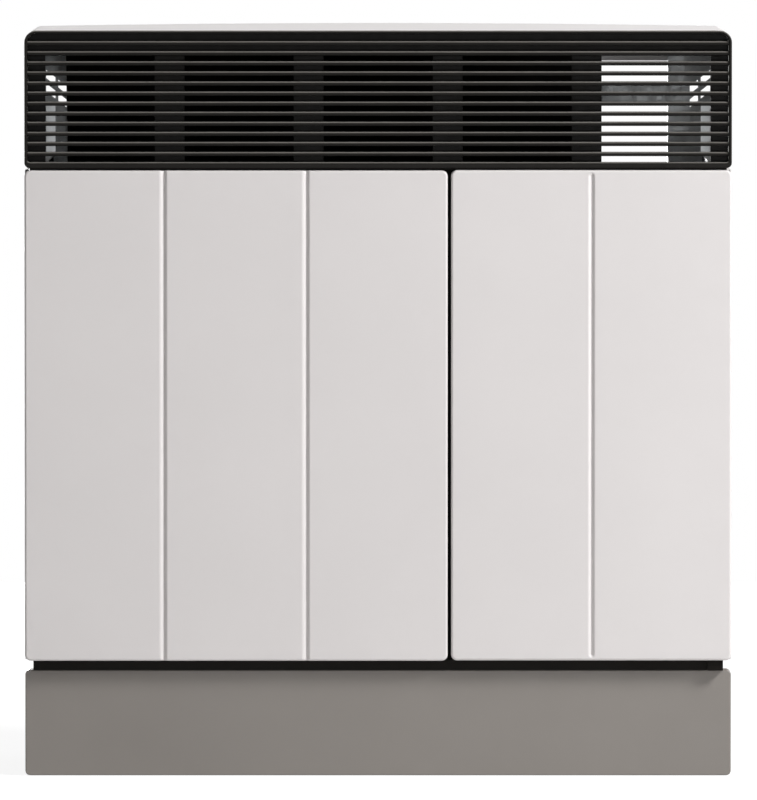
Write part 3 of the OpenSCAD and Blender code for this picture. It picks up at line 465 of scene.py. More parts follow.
@dataclass
class Workpiece:
    """One mesh on the bench, shaped in edit mode and then handed to the frame."""

    obj: bpy.types.Object

    @classmethod
    def start(cls, name: str, primitive: Callable[..., set[str]], **sizes: object) -> Self:
        """Adds a primitive and moves its place into its mesh.

        Args:
            name: The piece's name.
            primitive: The operator that adds it.
            sizes: The operator's settings.

        Returns:
            The piece.
        """
        clear_selection()
        primitive(**sizes)
        obj = bpy.context.active_object
        obj.name = obj.data.name = name
        bpy.ops.object.transform_apply(location=True, rotation=True, scale=True)
        return cls(obj)

    @classmethod
    def box(cls, name: str, low: Point, high: Point) -> Self:
        """Starts from a block between its lowest and highest corner."""
        block = {"location": (Vector(low) + Vector(high)) / 2, "scale": Vector(high) - Vector(low)}
        return cls.start(name, bpy.ops.mesh.primitive_cube_add, size=1, **block)

    @classmethod
    def block(cls, name: str, spot: Vector, corners: Corners) -> Self:
        """Starts from a block whose corners are measured from a spot."""
        return cls.box(name, *(spot + Vector(corner) for corner in corners))

    @classmethod
    def rod(cls, name: str, start: Point, end: Point, radius: float, sides: int = 48) -> Self:
        """Starts from a round bar.

        Args:
            name: The piece's name.
            start: The middle of one end.
            end: The middle of the other.
            radius: Its radius.
            sides: How many sides it has.

        Returns:
            The piece.
        """
        run = Vector(end) - Vector(start)
        return cls.start(
            name,
            bpy.ops.mesh.primitive_cylinder_add,
            vertices=sides,
            radius=radius,
            depth=run.length,
            location=(Vector(start) + Vector(end)) / 2,
            rotation=run.to_track_quat("Z", "Y").to_euler(),
        )

    @classmethod
    def nut(cls, name: str, start: Point, end: Point, radius: float) -> Self:
        """Starts from a hexagon of a radius over its corners, which are turned down."""
        return cls.rod(name, start, end, radius, 6).ease(NUT_CORNER * radius)

    @classmethod
    def pipe(
        cls, name: str, route: Sequence[Point], radius: float, bend: float, sides: int = 20
    ) -> Self:
        """Draws a round tube along straight runs joined by bends.

        Args:
            name: The piece's name.
            route: The corners of the route, each run parallel to an axis.
            radius: The tube's radius.
            bend: The radius of its bends.
            sides: How many sides it has.

        Returns:
            The piece.
        """
        points = [Vector(point) for point in route]
        runs = [(b - a).normalized() for a, b in zip(points, points[1:])]
        piece = cls.start(
            name,
            bpy.ops.mesh.primitive_circle_add,
            vertices=sides,
            radius=radius,
            location=points[0],
            rotation=runs[0].to_track_quat("Z", "Y").to_euler(),
        )
        piece.open().everything().run(bpy.ops.mesh.edge_face_add)
        bpy.ops.mesh.select_mode(type="EDGE")
        piece.everything()
        for index, run in enumerate(runs, 1):
            bends = (index > 1) + (index < len(runs))
            length = (points[index] - points[index - 1]).length - bends * bend
            bpy.ops.mesh.extrude_edges_move(TRANSFORM_OT_translate={"value": run * length})
            if index < len(runs):
                bpy.ops.mesh.spin(
                    steps=BEND_STEPS,
                    angle=math.radians(90),
                    center=points[index] + (runs[index] - run) * bend,
                    axis=run.cross(runs[index]),
                    use_auto_merge=False,
                )
        piece.run(bpy.ops.mesh.edge_face_add).everything()
        return piece.run(bpy.ops.mesh.normals_make_consistent, inside=False).close()

    @classmethod
    def copied(cls, node: str, name: str) -> Self:
        """Starts from a copy of a CAD node with its loose triangles merged.

        Args:
            node: The node's name.
            name: The piece's name.

        Returns:
            The piece.
        """
        obj = bpy.data.objects.new(name, frame["nodes"][node].data.copy())
        obj.data.name = name
        bpy.context.scene.collection.objects.link(obj)
        piece = cls(obj).open().everything()
        piece.run(bpy.ops.mesh.remove_doubles, threshold=MERGE)
        piece.run(bpy.ops.mesh.dissolve_limited, angle_limit=FLAT).close()
        if obj.data.has_custom_normals:
            bpy.ops.mesh.customdata_custom_splitnormals_clear()
        return piece

    def run(self, operator: Callable[..., set[str]], **settings: object) -> Self:
        """Runs an operator on what is selected."""
        operator(**settings)
        return self

    def activate(self) -> None:
        """Makes this the only selected object."""
        clear_selection()
        self.obj.select_set(True)
        bpy.context.view_layer.objects.active = self.obj

    def open(self) -> Self:
        """Enters edit mode with nothing selected.

        Returns:
            The piece.
        """
        self.activate()
        bpy.ops.object.mode_set(mode="EDIT")
        return self.run(bpy.ops.mesh.select_all, action="DESELECT")

    def close(self) -> Self:
        """Leaves edit mode."""
        return self.run(bpy.ops.object.mode_set, mode="OBJECT")

    def everything(self) -> Self:
        """Selects the whole mesh."""
        return self.run(bpy.ops.mesh.select_all, action="SELECT")

    def pick(self, kind: Element, chosen: Callable[[object], bool]) -> Self:
        """Selects elements of one kind, and no others.

        Args:
            kind: The kind.
            chosen: What an element has to pass.

        Returns:
            The piece.
        """
        bpy.ops.mesh.select_mode(type=kind.name)
        bpy.ops.mesh.select_all(action="DESELECT")
        mesh = bmesh.from_edit_mesh(self.obj.data)
        for element in getattr(mesh, kind.value):
            element.select_set(chosen(element))
        if kind is Element.VERT:
            mesh.select_flush_mode()
        bmesh.update_edit_mesh(self.obj.data)
        return self

    def verts(self, test: Test) -> Self:
        """Selects the vertices whose place passes the test."""
        return self.pick(Element.VERT, lambda vert: test(vert.co))

    def edges(self, along: Axis, test: Test = at()) -> Self:
        """Selects the edges along a direction whose two ends pass the test."""
        return self.pick(
            Element.EDGE,
            lambda edge: all(test(vert.co) for vert in edge.verts)
            and any(along.meets(v.co - w.co) for v in edge.verts for w in edge.verts),
        )

    def faces(self, facing: Axis, test: Test = at()) -> Self:
        """Selects the faces of one direction whose middle passes the test."""
        return self.pick(
            Element.FACE,
            lambda face: facing.meets(face.normal) and test(face.calc_center_median()),
        )

    def rim(self) -> Self:
        """Selects the edges round the selected faces."""
        return self.run(bpy.ops.mesh.region_to_loop)

    def bevel(self, width: float, segments: int = 4) -> Self:
        """Rounds the selected edges."""
        return self.run(bpy.ops.mesh.bevel, offset=width, segments=segments)

    def inset(self, thickness: float) -> Self:
        """Insets the selected faces."""
        return self.run(bpy.ops.mesh.inset, thickness=thickness)

    def extrude(self, shift: Point) -> Self:
        """Extrudes what is selected."""
        move = {"value": shift}
        return self.run(bpy.ops.mesh.extrude_region_move, TRANSFORM_OT_translate=move)

    def slide(self, shift: Point) -> Self:
        """Moves what is selected."""
        return self.run(bpy.ops.transform.translate, value=shift)

    def resize(self, factors: Point, centre: Point) -> Self:
        """Scales what is selected about a point."""
        return self.run(bpy.ops.transform.resize, value=factors, center_override=centre)

    def delete(self) -> Self:
        """Deletes the selected faces and keeps their edges."""
        return self.run(bpy.ops.mesh.delete, type="ONLY_FACE")

    def cut(self, across: Axis, level: float) -> Self:
        """Cuts the whole mesh across an axis, taking nothing away."""
        plane = {"plane_co": Vector(across.value) * level, "plane_no": across.value}
        return self.everything().run(bpy.ops.mesh.bisect, threshold=1e-6, **plane)

    def modify(self, kind: str, **settings: object) -> Self:
        """Adds a modifier in object mode and applies it.

        Args:
            kind: The modifier's type.
            settings: Properties to set on it.

        Returns:
            The piece.
        """
        self.activate()
        modifier = self.obj.modifiers.new(kind.lower(), kind)
        for key, value in settings.items():
            setattr(modifier, key, value)
        return self.run(bpy.ops.object.modifier_apply, modifier=modifier.name)

    def wall(self, thickness: float) -> Self:
        """Gives an open sheet its thickness, inwards."""
        return self.modify("SOLIDIFY", thickness=thickness, offset=-1.0, use_even_offset=True)

    def ease(self, width: float, segments: int = 2) -> Self:
        """Rounds every sharp edge a little."""
        limits = {"limit_method": "ANGLE", "angle_limit": SHARP}
        return self.modify("BEVEL", width=width, segments=segments, **limits)

    def take(self, *others: Self) -> Self:
        """Joins other pieces into this one.

        Args:
            others: The pieces that it takes in.

        Returns:
            The piece.
        """
        self.activate()
        for other in others:
            other.obj.select_set(True)
        return self.run(bpy.ops.object.join)

    def dress(self, node: str, slot: str) -> None:
        """Gives the piece its finish and lets it ride on a node's body.

        Args:
            node: The CAD node whose body it rides on.
            slot: The record's slot.
        """
        self.activate()
        bpy.ops.object.shade_smooth_by_angle(angle=SHARP)
        self.modify("WEIGHTED_NORMAL", keep_sharp=True)
        self.obj.data.materials.clear()
        self.obj.data.materials.append(MATERIALS[slot])
        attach(self.obj, BODIES[node])
        log.info("%s: %d faces, at %s", self.obj.name, len(self.obj.data.polygons), node)

    def finish(self, node: str) -> None:
        """Dresses the piece and lets it stand for a CAD node."""
        self.dress(node, SLOTS[node])
        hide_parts(node)


# Studio


def place_aimed(name: str, data: bpy.types.ID, place: Point, aim: Point) -> bpy.types.Object:
    """Places a camera or a lamp.

    Args:
        name: Its name.
        data: Its settings.
        place: Where it hangs.
        aim: What it points at.

    Returns:
        The placed object.
    """
    obj = bpy.data.objects.new(name, data)
    bpy.context.scene.collection.objects.link(obj)
    obj.location = place
    obj.rotation_euler = (Vector(aim) - Vector(place)).to_track_quat("-Z", "Y").to_euler()
    return obj


@dataclass(frozen=True)
class Lamp:
    """A square soft lamp: where it hangs, what it points at, its side and its power."""

    name: str
    place: Point
    aim: Point
    side: float
    watts: float

    def hang(self) -> None:
        """Hangs the lamp."""
        data = bpy.data.lights.new(self.name, "AREA")
        data.size = self.side
        data.energy = self.watts
        place_aimed(self.name, data, self.place, self.aim)


@dataclass
class Studio:
    """Camera, floor, background and lamps."""

    height_px: int = 800
    scale: float = 0.8477 * MM
    floor_row: float = 777.8
    aside: float = 0.34 * MM
    distance: float = 12.0
    eye_height: float = 845 * MM
    sensor: float = 36.0
    view_end: float = 60.0
    ambient: float = 0.13
    ambient_colour: Colour = (1, 0.985, 0.97)
    floor_size: float = 5.6
    floor_gap: float = 0.4 * MM
    floor_glow: float = 0.87
    floor_tone: float = 0.34
    floor_paint: float = 0.8
    lamps: tuple[Lamp, ...] = (
        Lamp("key", (2.6, -1.65, 2.5), (0.1, -0.1, 0.3), 1.0, 159),
        Lamp("front", (0.6, -4.0, 0.1), (0, -0.1, 0.25), 0.18, 7),
        Lamp("rear", (-0.6, 3.0, 0.36), (0, 0.1, 0.3), 0.6, 40),
    )

    def camera(self) -> None:
        """Sets the camera at the photograph's viewing angle."""
        front = CAD_BOX[0].y
        data = bpy.data.cameras.new("camera")
        data.sensor_width = self.sensor
        data.lens = self.sensor * self.distance / (self.height_px * self.scale)
        data.clip_end = self.view_end
        place = (self.aside, front - self.distance, self.eye_height)
        aim = (self.aside, front, (self.floor_row - self.height_px / 2) * self.scale)
        bpy.context.scene.camera = place_aimed("camera", data, place, aim)

    def show(self, tree: Tree, lights: Node, shows: Node, output: str) -> None:
        """Lights with one shader, and shows camera, glossy and transmission rays another.

        Args:
            tree: The tree that is wired.
            lights: The shader that lights.
            shows: The shader that is seen.
            output: The type of the tree's output node.
        """
        rays = add_node(tree, "LightPath", {}).outputs
        seen = rays["Is Camera Ray"]
        for name in ("Is Glossy Ray", "Is Transmission Ray"):
            either = add_node(tree, "Math", {0: seen, 1: rays[name]})
            either.operation = "MAXIMUM"
            seen = either.outputs["Value"]
        shaders = {"Fac": seen, 1: lights.outputs[0], 2: shows.outputs[0]}
        mix = add_node(tree, "MixShader", shaders)
        add_node(tree, output, {"Surface": mix.outputs["Shader"]})

    def world(self) -> None:
        """Lights the scene softly from all round, on a white background."""
        world = bpy.data.worlds.new("studio")
        bpy.context.scene.world = world
        tree = empty_tree(world)
        soft = {"Color": (*self.ambient_colour, 1), "Strength": self.ambient}
        light = add_node(tree, "Background", soft)
        white = add_node(tree, "Background", {"Color": (*WHITE, 1), "Strength": 1.0})
        self.show(tree, light, white, "OutputWorld")

    def floor(self) -> None:
        """Lays a pale floor that keeps the heater's shadow."""
        clear_selection()
        place = (0, 0, -self.floor_gap)
        bpy.ops.mesh.primitive_plane_add(size=self.floor_size, location=place)
        floor = bpy.context.active_object
        floor.name = "floor"
        material = bpy.data.materials.new("studio_floor")
        tree = empty_tree(material)
        plain, tone = (
            add_node(tree, "BsdfDiffuse", {"Color": (*shade(WHITE, grey), 1)})
            for grey in (self.floor_paint, self.floor_tone)
        )
        glow = add_node(tree, "Emission", {"Strength": self.floor_glow})
        both = add_node(tree, "AddShader", {0: tone.outputs[0], 1: glow.outputs[0]})
        self.show(tree, plain, both, "OutputMaterial")
        floor.data.materials.append(material)

    def build(self) -> None:
        """Sets up the studio."""
        bpy.context.scene.view_settings.view_transform = "Standard"
        self.camera()
        self.world()
        self.floor()
        for lamp in self.lamps:
            lamp.hang()


# Sub-assemblies


@dataclass(frozen=True)
class Copies:
    """CAD nodes that keep their shape and only have their edges rounded."""

    suffix: str
    width: float
    nodes: tuple[str, ...]


@dataclass
class Assembly:
    """A sub-assembly: copies of CAD nodes, and what its own class models besides."""

    copies: tuple[Copies, ...] = ()

    def build(self) -> None:
        """Finishes the copies."""
        for group in self.copies:
            for node in group.nodes:
                piece = Workpiece.copied(node, f"{node}_{group.suffix}")
                piece.ease(group.width).finish(node)


@dataclass
class Pressing:
    """A folded front sheet, open to the rear, with pressed grooves."""

    node: str
    corner: float = 5 * MM
    corner_steps: int = 6
    fold: float = 2 * MM
    fold_steps: int = 5
    sheet: float = 1.2 * MM
    grooves: Sequence[float] = ()
    flanks: Span = (4.3 * MM, 2.9 * MM)
    shoulders: Span = (0.85, 0.12)
    crease_shift: float = -0.35 * MM
    groove_depth: float = 2.1 * MM
    groove_stop: float | None = None
    run_out: float = 3 * MM
    run_steps: int = 5
    margin: float = 0.8 * MM
    drop: float = 0.0
    columns: int = 8

    def build(self) -> None:
        """Models and finishes the pressing."""
        low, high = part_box(self.node)
        low.z -= self.drop
        piece = Workpiece.box(f"{self.node}_pressing", low, high).open()
        piece.faces(Axis.REAR).delete()
        piece.edges(Axis.REAR).bevel(self.corner, self.corner_steps)
        piece.faces(Axis.FRONT, at(y=low.y)).rim().bevel(self.fold, self.fold_steps)
        for middle in self.grooves:
            self.press(piece, middle, low, high)
        piece.close().wall(self.sheet).finish(self.node)

    def slope(self, reach: float, shoulder: float) -> float:
        """Returns the depth from 0, at the crease, to 1: straight, then rounded off."""
        rounded = max(0.0, reach + shoulder - 1) ** 2 / (2 * shoulder)
        return self.groove_depth * (1 - (reach - rounded) / (1 - shoulder / 2))

    def press(self, piece: Workpiece, middle: float, low: Vector, high: Vector) -> None:
        """Presses one upright groove into the front.

        Args:
            piece: The pressing, in edit mode.
            middle: The groove's place across the front.
            low: The pressing's lowest corner.
            high: Its highest corner.
        """
        crease = middle + self.crease_shift
        shares = [step / self.columns for step in range(-self.columns, self.columns + 1)]
        lines = [crease + share * self.flanks[share >= 0] for share in shares]
        for x in (lines[0] - self.margin, *lines, lines[-1] + self.margin):
            piece.cut(Axis.RIGHT, x)
        ends: dict[float, Span] = {}
        for step in range(self.run_steps + 1) if self.groove_stop is not None else ():
            reach = self.groove_stop + self.run_out * step / self.run_steps
            ends[1 - step / self.run_steps] = levels = (low.z + reach, high.z - reach)
            for level in levels:
                piece.cut(Axis.UP, level)
        fold = low.y + self.fold + TINY
        for x, share in list(zip(lines, shares))[1:-1]:
            shoulder = self.shoulders[share >= 0]
            if not ends:
                shift = (0, self.slope(abs(share), shoulder), 0)
                piece.verts(lambda place: at(x=x)(place) and place.y < fold).slide(shift)
            for end, levels in ends.items():
                distance = math.hypot(share, end)
                for level in levels if distance < 1 else ():
                    shift = (0, self.slope(distance, shoulder), 0)
                    piece.verts(at(x=x, y=low.y, z=level)).slide(shift)


@dataclass
class Casing(Assembly):
    """Painted outer casing: front, door, sides, hood and plinth."""

    copies: tuple[Copies, ...] = (
        Copies("sheet", 0.4 * MM, ("side_panel_left", "side_panel_right")),
    )
    fields: int = 5
    field_width: float = 121 * MM
    hood_corner: float = 10 * MM
    corner_steps: int = 10
    edge: float = 0.35 * MM
    crown: float = 2.5 * MM
    crown_steps: int = 12
    sheet: float = 1.2 * MM
    lip: float = 30 * MM
    flange_width: float = 20 * MM
    flange_front: float = 7 * MM
    flange_back: float = 98.5 * MM

    def build(self) -> None:
        """Models and finishes the casing."""
        lines = [(step - self.fields / 2) * self.field_width for step in range(1, self.fields)]
        flanks, stop = (3.4 * MM, 2.9 * MM), 2.2 * MM
        front = Pressing("front_panel", grooves=lines[:2])
        door = Pressing("control_door", grooves=lines[3:], flanks=flanks, groove_stop=stop)
        plinth = Pressing("plinth", 4 * MM, fold=1.2 * MM, sheet=1.5 * MM, drop=0.9 * MM)
        for pressing in (front, door, plinth):
            pressing.build()
        super().build()
        self.hood()

    def hood(self) -> None:
        """Models the hood: straight along its front edge, crowned towards the wall."""
        low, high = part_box("hood")
        top = high.z - self.crown
        piece = Workpiece.box("hood_pressing", low, (high.x, high.y, top)).open()
        piece.edges(Axis.REAR, at(z=top)).bevel(self.hood_corner, self.corner_steps)
        piece.faces(Axis.DOWN).delete()
        piece.faces(Axis.FRONT).delete()
        piece.cut(Axis.UP, top - self.lip)
        piece.faces(Axis.REAR, lambda place: place.z < top - self.lip).delete()
        flat = high.x - self.hood_corner
        shares = [step / self.crown_steps for step in range(1 - self.crown_steps, self.crown_steps)]
        for share in shares:
            piece.cut(Axis.RIGHT, flat * share)
        for share in shares:
            rise = self.crown * (1 - share**2)
            piece.verts(at(x=flat * share, y=high.y, z=top)).slide((0, 0, rise))
        piece.close().wall(self.sheet)
        inner = (high.x - self.flange_width, low.y + self.flange_front, low.z)
        outer = (high.x - self.sheet / 2, self.flange_back, low.z + self.sheet)
        flange = Workpiece.box("hood_flange", inner, outer)
        flange.modify("MIRROR", use_axis=(True, False, False), use_mirror_merge=False)
        piece.take(flange).ease(self.edge, FINE_STEPS).finish("hood")


@dataclass
class Grille(Assembly):
    """Black outlet grille: rim, louvre bars, uprights and top strip."""

    copies: tuple[Copies, ...] = (
        Copies("moulding", 0.3 * MM, ("grille_uprights", "grille_top_strip")),
        Copies("fold", 0.3 * MM, ("joint_strip",)),
        Copies("tube", 0.4 * MM, ("joint_rails",)),
    )
    rim: float = 2.5 * MM
    rim_round: float = 2 * MM
    rim_steps: int = 6
    sill: float = 5 * MM
    top_corner: float = 10 * MM
    top_steps: int = 10
    foot_corner: float = 4.5 * MM
    bar_count: int = 12
    bar_pitch: float = 8.54 * MM
    bar_height: float = 3.5 * MM
    nose: float = 0.48
    back_round: float = 0.4 * MM

    def build(self) -> None:
        """Models and finishes the grille."""
        self.frame()
        self.bars()
        super().build()

    def frame(self) -> None:
        """Models the rim with its rounded corners and the thicker sill."""
        low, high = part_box("grille_rim")
        piece = Workpiece.box("grille_rim_moulding", low, high).open()
        piece.faces(Axis.FRONT).delete()
        piece.faces(Axis.REAR).delete()
        piece.edges(Axis.REAR, at(z=high.z)).bevel(self.top_corner, self.top_steps)
        piece.edges(Axis.REAR, at(z=low.z)).bevel(self.foot_corner, self.rim_steps)
        piece.close().wall(self.rim).open()
        middle = (low.z + high.z) / 2
        foot, side = low.z + self.rim - TINY, high.x - self.rim + TINY
        sill = piece.verts(lambda place: foot < place.z < middle and abs(place.x) < side)
        sill.slide((0, 0, self.sill - self.rim)).close()
        piece.ease(self.rim_round, self.rim_steps).finish("grille_rim")

    def bars(self) -> None:
        """Models one bar with a rounded nose, and copies it down the grille."""
        low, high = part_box("grille_bars")
        top = (low.x, low.y, high.z - self.bar_height)
        piece = Workpiece.box("grille_bars_moulding", top, high).open()
        nose = self.nose * self.bar_height
        piece.edges(Axis.RIGHT, at(y=low.y)).bevel(nose, self.rim_steps)
        piece.edges(Axis.RIGHT, at(y=high.y)).bevel(self.back_round, 2)
        piece.everything()
        step = {"value": (0, 0, -self.bar_pitch)}
        for _ in range(1, self.bar_count):
            bpy.ops.mesh.duplicate_move(TRANSFORM_OT_translate=step)
        piece.close().finish("grille_bars")


@dataclass
class DoorGear(Assembly):
    """What hangs the door and holds it shut."""

    copies: tuple[Copies, ...] = (
        Copies("fold", 0.3 * MM, ("door_stiffener", "door_striker")),
        Copies("turning", 0.2 * MM, ("hinge_bushes",)),
        Copies("turning", 0.3 * MM, ("hinge_pins",)),
        Copies("moulding", 0.4 * MM, ("magnet_catch",)),
        Copies("strip", 0.3 * MM, ("door_jamb",)),
    )


@dataclass
class Skeleton(Assembly):
    """Legs, rails, posts and the shield at the wall."""

    copies: tuple[Copies, ...] = (
        Copies("fold", 0.35 * MM, ("leg_left", "leg_right", "post_left", "post_right")),
        Copies("fold", 0.35 * MM, ("tie_rail", "wall_brackets")),
        Copies("tube", 0.4 * MM, ("floor_front_rail", "floor_rear_rail", "floor_side_rails")),
        Copies("tube", 0.4 * MM, ("exchanger_supports",)),
        Copies("sheet", 0.25 * MM, ("rear_shield", "divider", "air_deflector")),
    )


@dataclass
class HeatPack(Assembly):
    """Heat exchanger, burner and what passes through the burner plate."""

    copies: tuple[Copies, ...] = (
        Copies("pressing", 0.5 * MM, ("exchanger_front_shell", "exchanger_rear_shell", "air_box")),
        Copies("disc", 0.2 * MM, ("burner_plate", "burner_gasket")),
        Copies("disc", 0.2 * MM, ("sight_glass", "sight_glass_frame")),
        Copies("turning", 0.2 * MM, ("burner", "injector", "pilot_burner", "spark_electrode")),
    )


@dataclass
class Flue(Assembly):
    """Flue pipe and air collar at the wall."""

    copies: tuple[Copies, ...] = (
        Copies("turning", 0.4 * MM, ("flue_pipe", "air_collar", "collar_gasket")),
    )


@dataclass
class Controls(Assembly):
    """Gas valve, knob and igniter behind the door."""

    copies: tuple[Copies, ...] = (
        Copies("fold", 0.3 * MM, ("control_fascia", "sensor_clips")),
        Copies("moulding", 0.6 * MM, ("gas_valve", "igniter_body")),
        Copies("turning", 0.3 * MM, ("valve_plunger", "knob_spindle")),
    )
    rim_height: float = 6 * MM
    step: float = 6.5 * MM
    bore: float = 3 * MM
    cap: float = 3 * MM
    lip: float = 2.5 * MM
    dish: float = 0.8 * MM
    flutes: int = 16
    flute_depth: float = 0.07
    flute_sides: int = 6
    knob_round: float = 0.6 * MM
    ridge_round: float = 0.5 * MM
    ridge: Corners = ((-1.5 * MM, 0.2 * MM, -2 * MM), (1.5 * MM, 2 * MM, 12 * MM))
    pointer: Corners = ((-0.5 * MM, 0, 2 * MM), (0.5 * MM, 0.6 * MM, 11 * MM))
    strip_round: float = 0.15 * MM
    marks: int = 7
    mark_turn: float = 27.0
    mark_width: float = 0.9 * MM
    mark_rise: float = 0.3 * MM
    mark_reach: float = 4.6 * MM
    mark_edge: float = 1 * MM
    button_roll: float = 1.2 * MM
    button_lip: float = 1 * MM
    button_slope: float = 1.5 * MM
    button_dish: float = 0.6 * MM
    button_edge: float = 0.2 * MM

    def build(self) -> None:
        """Models and finishes the controls."""
        super().build()
        self.knob()
        self.dial()
        self.button()

    def column(self, place: Vector) -> int:
        """Returns which column of its flute a place is in, seen from the knob's middle."""
        turns = math.atan2(place.z, place.x) / math.tau
        return round(turns * self.flutes * self.flute_sides) % self.flute_sides

    def knob(self) -> None:
        """Models the fluted knob with its skirt, dished face, ridge, pointer and bore."""
        low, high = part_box("control_knob")
        middle = (low + high) / 2
        radius = (high.x - low.x) / 2
        skirt = high.y - self.rim_height
        grip = radius - self.step
        back, front = (middle.x, high.y, middle.z), (middle.x, skirt, middle.z)
        sides = self.flutes * self.flute_sides
        piece = Workpiece.rod("control_knob_grip", back, front, radius, sides).open()
        piece.faces(Axis.FRONT).inset(self.step).extrude((0, low.y - skirt, 0))
        piece.inset(self.lip).inset(self.dish).slide((0, self.dish, 0))
        for column in range(1, self.flute_sides):
            factor = 1 - self.flute_depth * math.sin(math.pi * column / self.flute_sides) ** 2
            piece.verts(
                lambda place: self.column(place - middle) == column
                and abs((place - middle).xz.length - grip) < 5 * TINY
            ).resize((factor, 1, factor), (middle.x, 0, middle.z))
        piece.faces(Axis.REAR).inset(radius - self.bore)
        piece.extrude((0, low.y + self.cap - high.y, 0)).close()
        piece.ease(self.knob_round, FINE_STEPS)
        face = Vector((middle.x, low.y, middle.z))
        ridge = Workpiece.block("control_knob_ridge", face, self.ridge)
        piece.take(ridge.ease(self.ridge_round, FINE_STEPS)).finish("control_knob")
        pointer = Workpiece.block("control_knob_pointer", face, self.pointer)
        pointer.ease(self.strip_round).dress("control_knob", "nylon")

    def dial(self) -> None:
        """Models the marks round the skirt, each a little longer than the one before."""
        low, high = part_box("control_knob")
        middle = (low + high) / 2
        middle.y = high.y - self.rim_height
        edge = (high.x - low.x) / 2 - self.mark_edge
        wide, rise = self.mark_width / 2, self.mark_rise
        marks: list[Workpiece] = []
        for index in range(self.marks):
            reach = self.mark_reach * (index + 2) / (self.marks + 1)
            corners = (-wide, -rise, edge - reach), (wide, rise, edge)
            mark = Workpiece.block(f"control_knob_mark_{index}", middle, corners)
            mark.ease(self.strip_round).open().everything()
            turn = {"value": math.radians(self.mark_turn * (index + 1)), "orient_axis": "Y"}
            mark.run(bpy.ops.transform.rotate, center_override=middle, **turn).close()
            marks.append(mark)
        marks[0].take(*marks[1:]).dress("control_knob", "nylon")

    def button(self) -> None:
        """Models the igniter button with a rolled rim and a dished face."""
        low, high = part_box("igniter_button")
        middle = (low + high) / 2
        back, front = (middle.x, high.y, middle.z), (middle.x, low.y, middle.z)
        piece = Workpiece.rod("igniter_button_cap", back, front, (high.x - low.x) / 2).open()
        piece.faces(Axis.FRONT).rim().bevel(self.button_roll)
        piece.faces(Axis.FRONT, at(y=low.y)).inset(self.button_lip).inset(self.button_slope)
        piece.slide((0, self.button_dish, 0)).close()
        piece.ease(self.button_edge).finish("igniter_button")


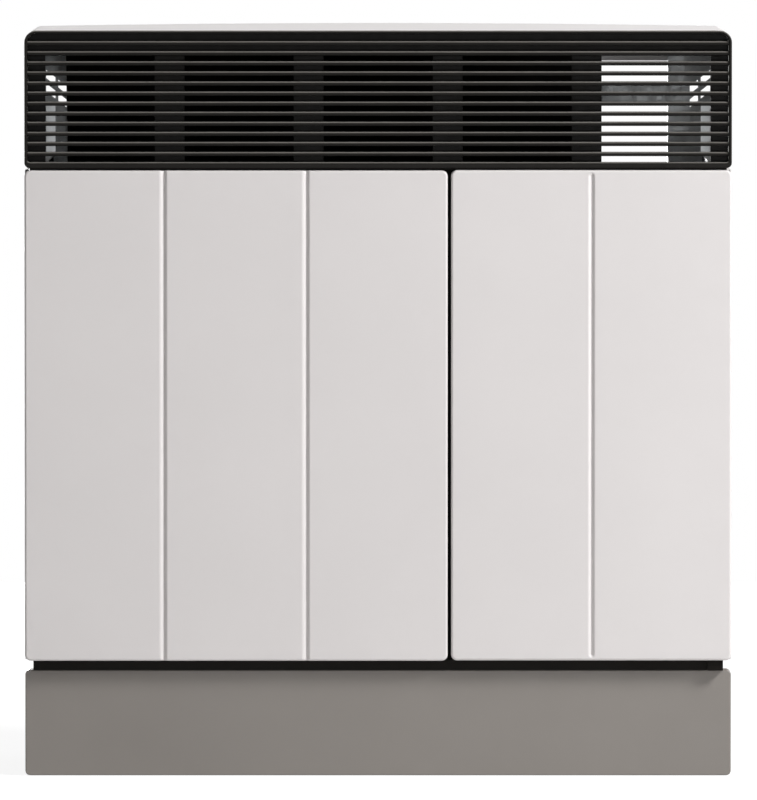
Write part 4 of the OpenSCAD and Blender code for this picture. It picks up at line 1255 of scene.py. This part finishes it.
@dataclass
class Lines(Assembly):
    """Pipes, leads, the gas inlet and the screws."""

    copies: tuple[Copies, ...] = (Copies("run", 0.2 * MM, ("thermocouple",)),)
    pipe_bend: float = 14 * MM
    lead_bend: float = 8 * MM
    capillary_bend: float = 6 * MM
    nut: float = 9 * MM
    nut_height: float = 10 * MM
    nut_wall: float = 4 * MM
    thin: float = 2 * MM
    capillary: float = 1 * MM
    bulb: float = 4 * MM
    bulb_length: float = 80 * MM
    bulb_round: float = 0.45
    bulb_steps: int = 5
    bulb_sides: int = 32
    thin_sides: int = 12
    inlet_sides: int = 40
    thread: float = 10.4 * MM
    thread_length: float = 17 * MM
    thread_pitch: float = 1.8 * MM
    thread_depth: float = 0.07
    inlet_bore: float = 8 * MM
    hexagon_height: float = 15 * MM
    neck: float = 7.5 * MM
    neck_round: float = 0.5 * MM
    recess: float = 1.2 * MM
    recess_depth: float = 1 * MM
    recess_round: float = 0.4 * MM
    aside: float = 200 * MM

    def build(self) -> None:
        """Models and finishes the pipes and fasteners."""
        super().build()
        self.gas_pipe()
        self.pilot()
        self.lead()
        self.sensor()
        self.inlet()
        self.screws()

    def gas_pipe(self) -> None:
        """Models the main gas pipe with a union nut at each end."""
        low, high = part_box("main_gas_pipe")
        nut = self.nut
        x, front, back, foot = high.x - nut, low.y + nut, high.y - nut, low.z + nut
        corners = ((x, front, high.z), (x, front, foot), (x, back, foot), (low.x, back, foot))
        radius = nut - self.nut_wall
        piece = Workpiece.pipe("main_gas_pipe_run", corners, radius, self.pipe_bend)
        under = (x, front, high.z - self.nut_height)
        top = Workpiece.nut("main_gas_pipe_nut", under, corners[0], nut)
        inner = (low.x + self.nut_height, back, foot)
        end = Workpiece.nut("main_gas_pipe_end", corners[-1], inner, nut)
        piece.take(top, end).finish("main_gas_pipe")

    def pilot(self) -> None:
        """Models the thin pipe to the pilot: down from the valve, back and into the plate."""
        low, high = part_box("pilot_pipe")
        thin = self.thin
        x, front, back, foot = high.x - thin, low.y + thin, high.y - thin, low.z + thin
        corners = ((x, front, high.z), (x, front, foot), (x, back, foot), (low.x, back, foot))
        Workpiece.pipe("pilot_pipe_run", corners, thin, self.lead_bend).finish("pilot_pipe")

    def lead(self) -> None:
        """Models the sleeved lead from the igniter to the spark electrode."""
        low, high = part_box("ignition_lead")
        thin = self.thin
        x, back, head, foot = high.x - thin, high.y - thin, high.z - thin, low.z + thin
        corners = ((x, low.y, head), (x, back, head), (x, back, foot), (low.x, back, foot))
        Workpiece.pipe("ignition_lead_run", corners, thin, self.lead_bend).finish("ignition_lead")

    def sensor(self) -> None:
        """Models the thermostat's bulb with its rounded ends and the capillary to the valve."""
        low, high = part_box("thermostat_sensor")
        _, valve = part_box("gas_valve")
        x, back, head = (level - self.capillary for level in high)
        front, foot, end = low.y + self.bulb, low.z + self.bulb, low.x + self.bulb_length
        corners = (
            (valve.x, back, head), (x, back, head), (x, back, foot), (x, front, foot),
            (end, front, foot),
        )
        name, bend = "thermostat_sensor_run", self.capillary_bend
        piece = Workpiece.pipe(name, corners, self.capillary, bend, self.thin_sides)
        start, radius = (low.x, front, foot), self.bulb
        bulb = Workpiece.rod("thermostat_sensor_bulb", start, corners[-1], radius, self.bulb_sides)
        piece.take(bulb.ease(self.bulb_round * radius, self.bulb_steps)).finish("thermostat_sensor")

    def inlet(self) -> None:
        """Models the gas inlet: a threaded end with its bore, a hexagon and a neck."""
        low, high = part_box("gas_inlet")
        x, y = (low.x + high.x) / 2, (low.y + high.y) / 2
        head = low.z + self.thread_length
        shoulder = head + self.hexagon_height
        foot, seat, top, end = ((x, y, level) for level in (low.z, head, shoulder, high.z))
        piece = Workpiece.rod("gas_inlet_fitting", foot, seat, self.thread, self.inlet_sides).open()
        turns = int(2 * self.thread_length / self.thread_pitch)
        levels = [low.z + step * self.thread_pitch / 2 for step in range(1, turns)]
        for level in levels:
            piece.cut(Axis.UP, level)
        factor = 1 - self.thread_depth
        for level in levels[::2]:
            piece.verts(at(z=level)).resize((factor, factor, 1), (x, y, level))
        piece.faces(Axis.DOWN, at(z=low.z)).inset(self.thread - self.inlet_bore)
        piece.extrude((0, 0, self.thread_length)).close()
        nut = Workpiece.nut("gas_inlet_hexagon", seat, top, (high.x - low.x) / 2)
        neck = Workpiece.rod("gas_inlet_neck", top, end, self.neck, self.inlet_sides)
        piece.take(nut, neck.ease(self.neck_round)).finish("gas_inlet")

    def screws(self) -> None:
        """Sinks a recess in each head; those far aside face the front, the others the right."""
        piece = Workpiece.copied("sheet_metal_screws", "sheet_metal_screws_heads").open()
        piece.faces(Axis.FRONT, lambda place: abs(place.x) > self.aside)
        piece.inset(self.recess).slide((0, self.recess_depth, 0))
        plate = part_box("burner_plate")[1].x + MM
        piece.faces(Axis.RIGHT, lambda place: plate < place.x < self.aside)
        piece.inset(self.recess).slide((-self.recess_depth, 0, 0))
        piece.close().ease(self.recess_round, FINE_STEPS).finish("sheet_metal_screws")


def main() -> None:
    """Builds the studio and the heater in order."""
    logging.basicConfig(level=logging.INFO, format="%(name)s: %(message)s")
    Studio().build()
    for kind in (Casing, Grille, DoorGear, Skeleton, HeatPack, Flue, Controls, Lines):
        kind().build()
        log.info("%s is done", kind.__name__)


if __name__ == "__main__":
    main()
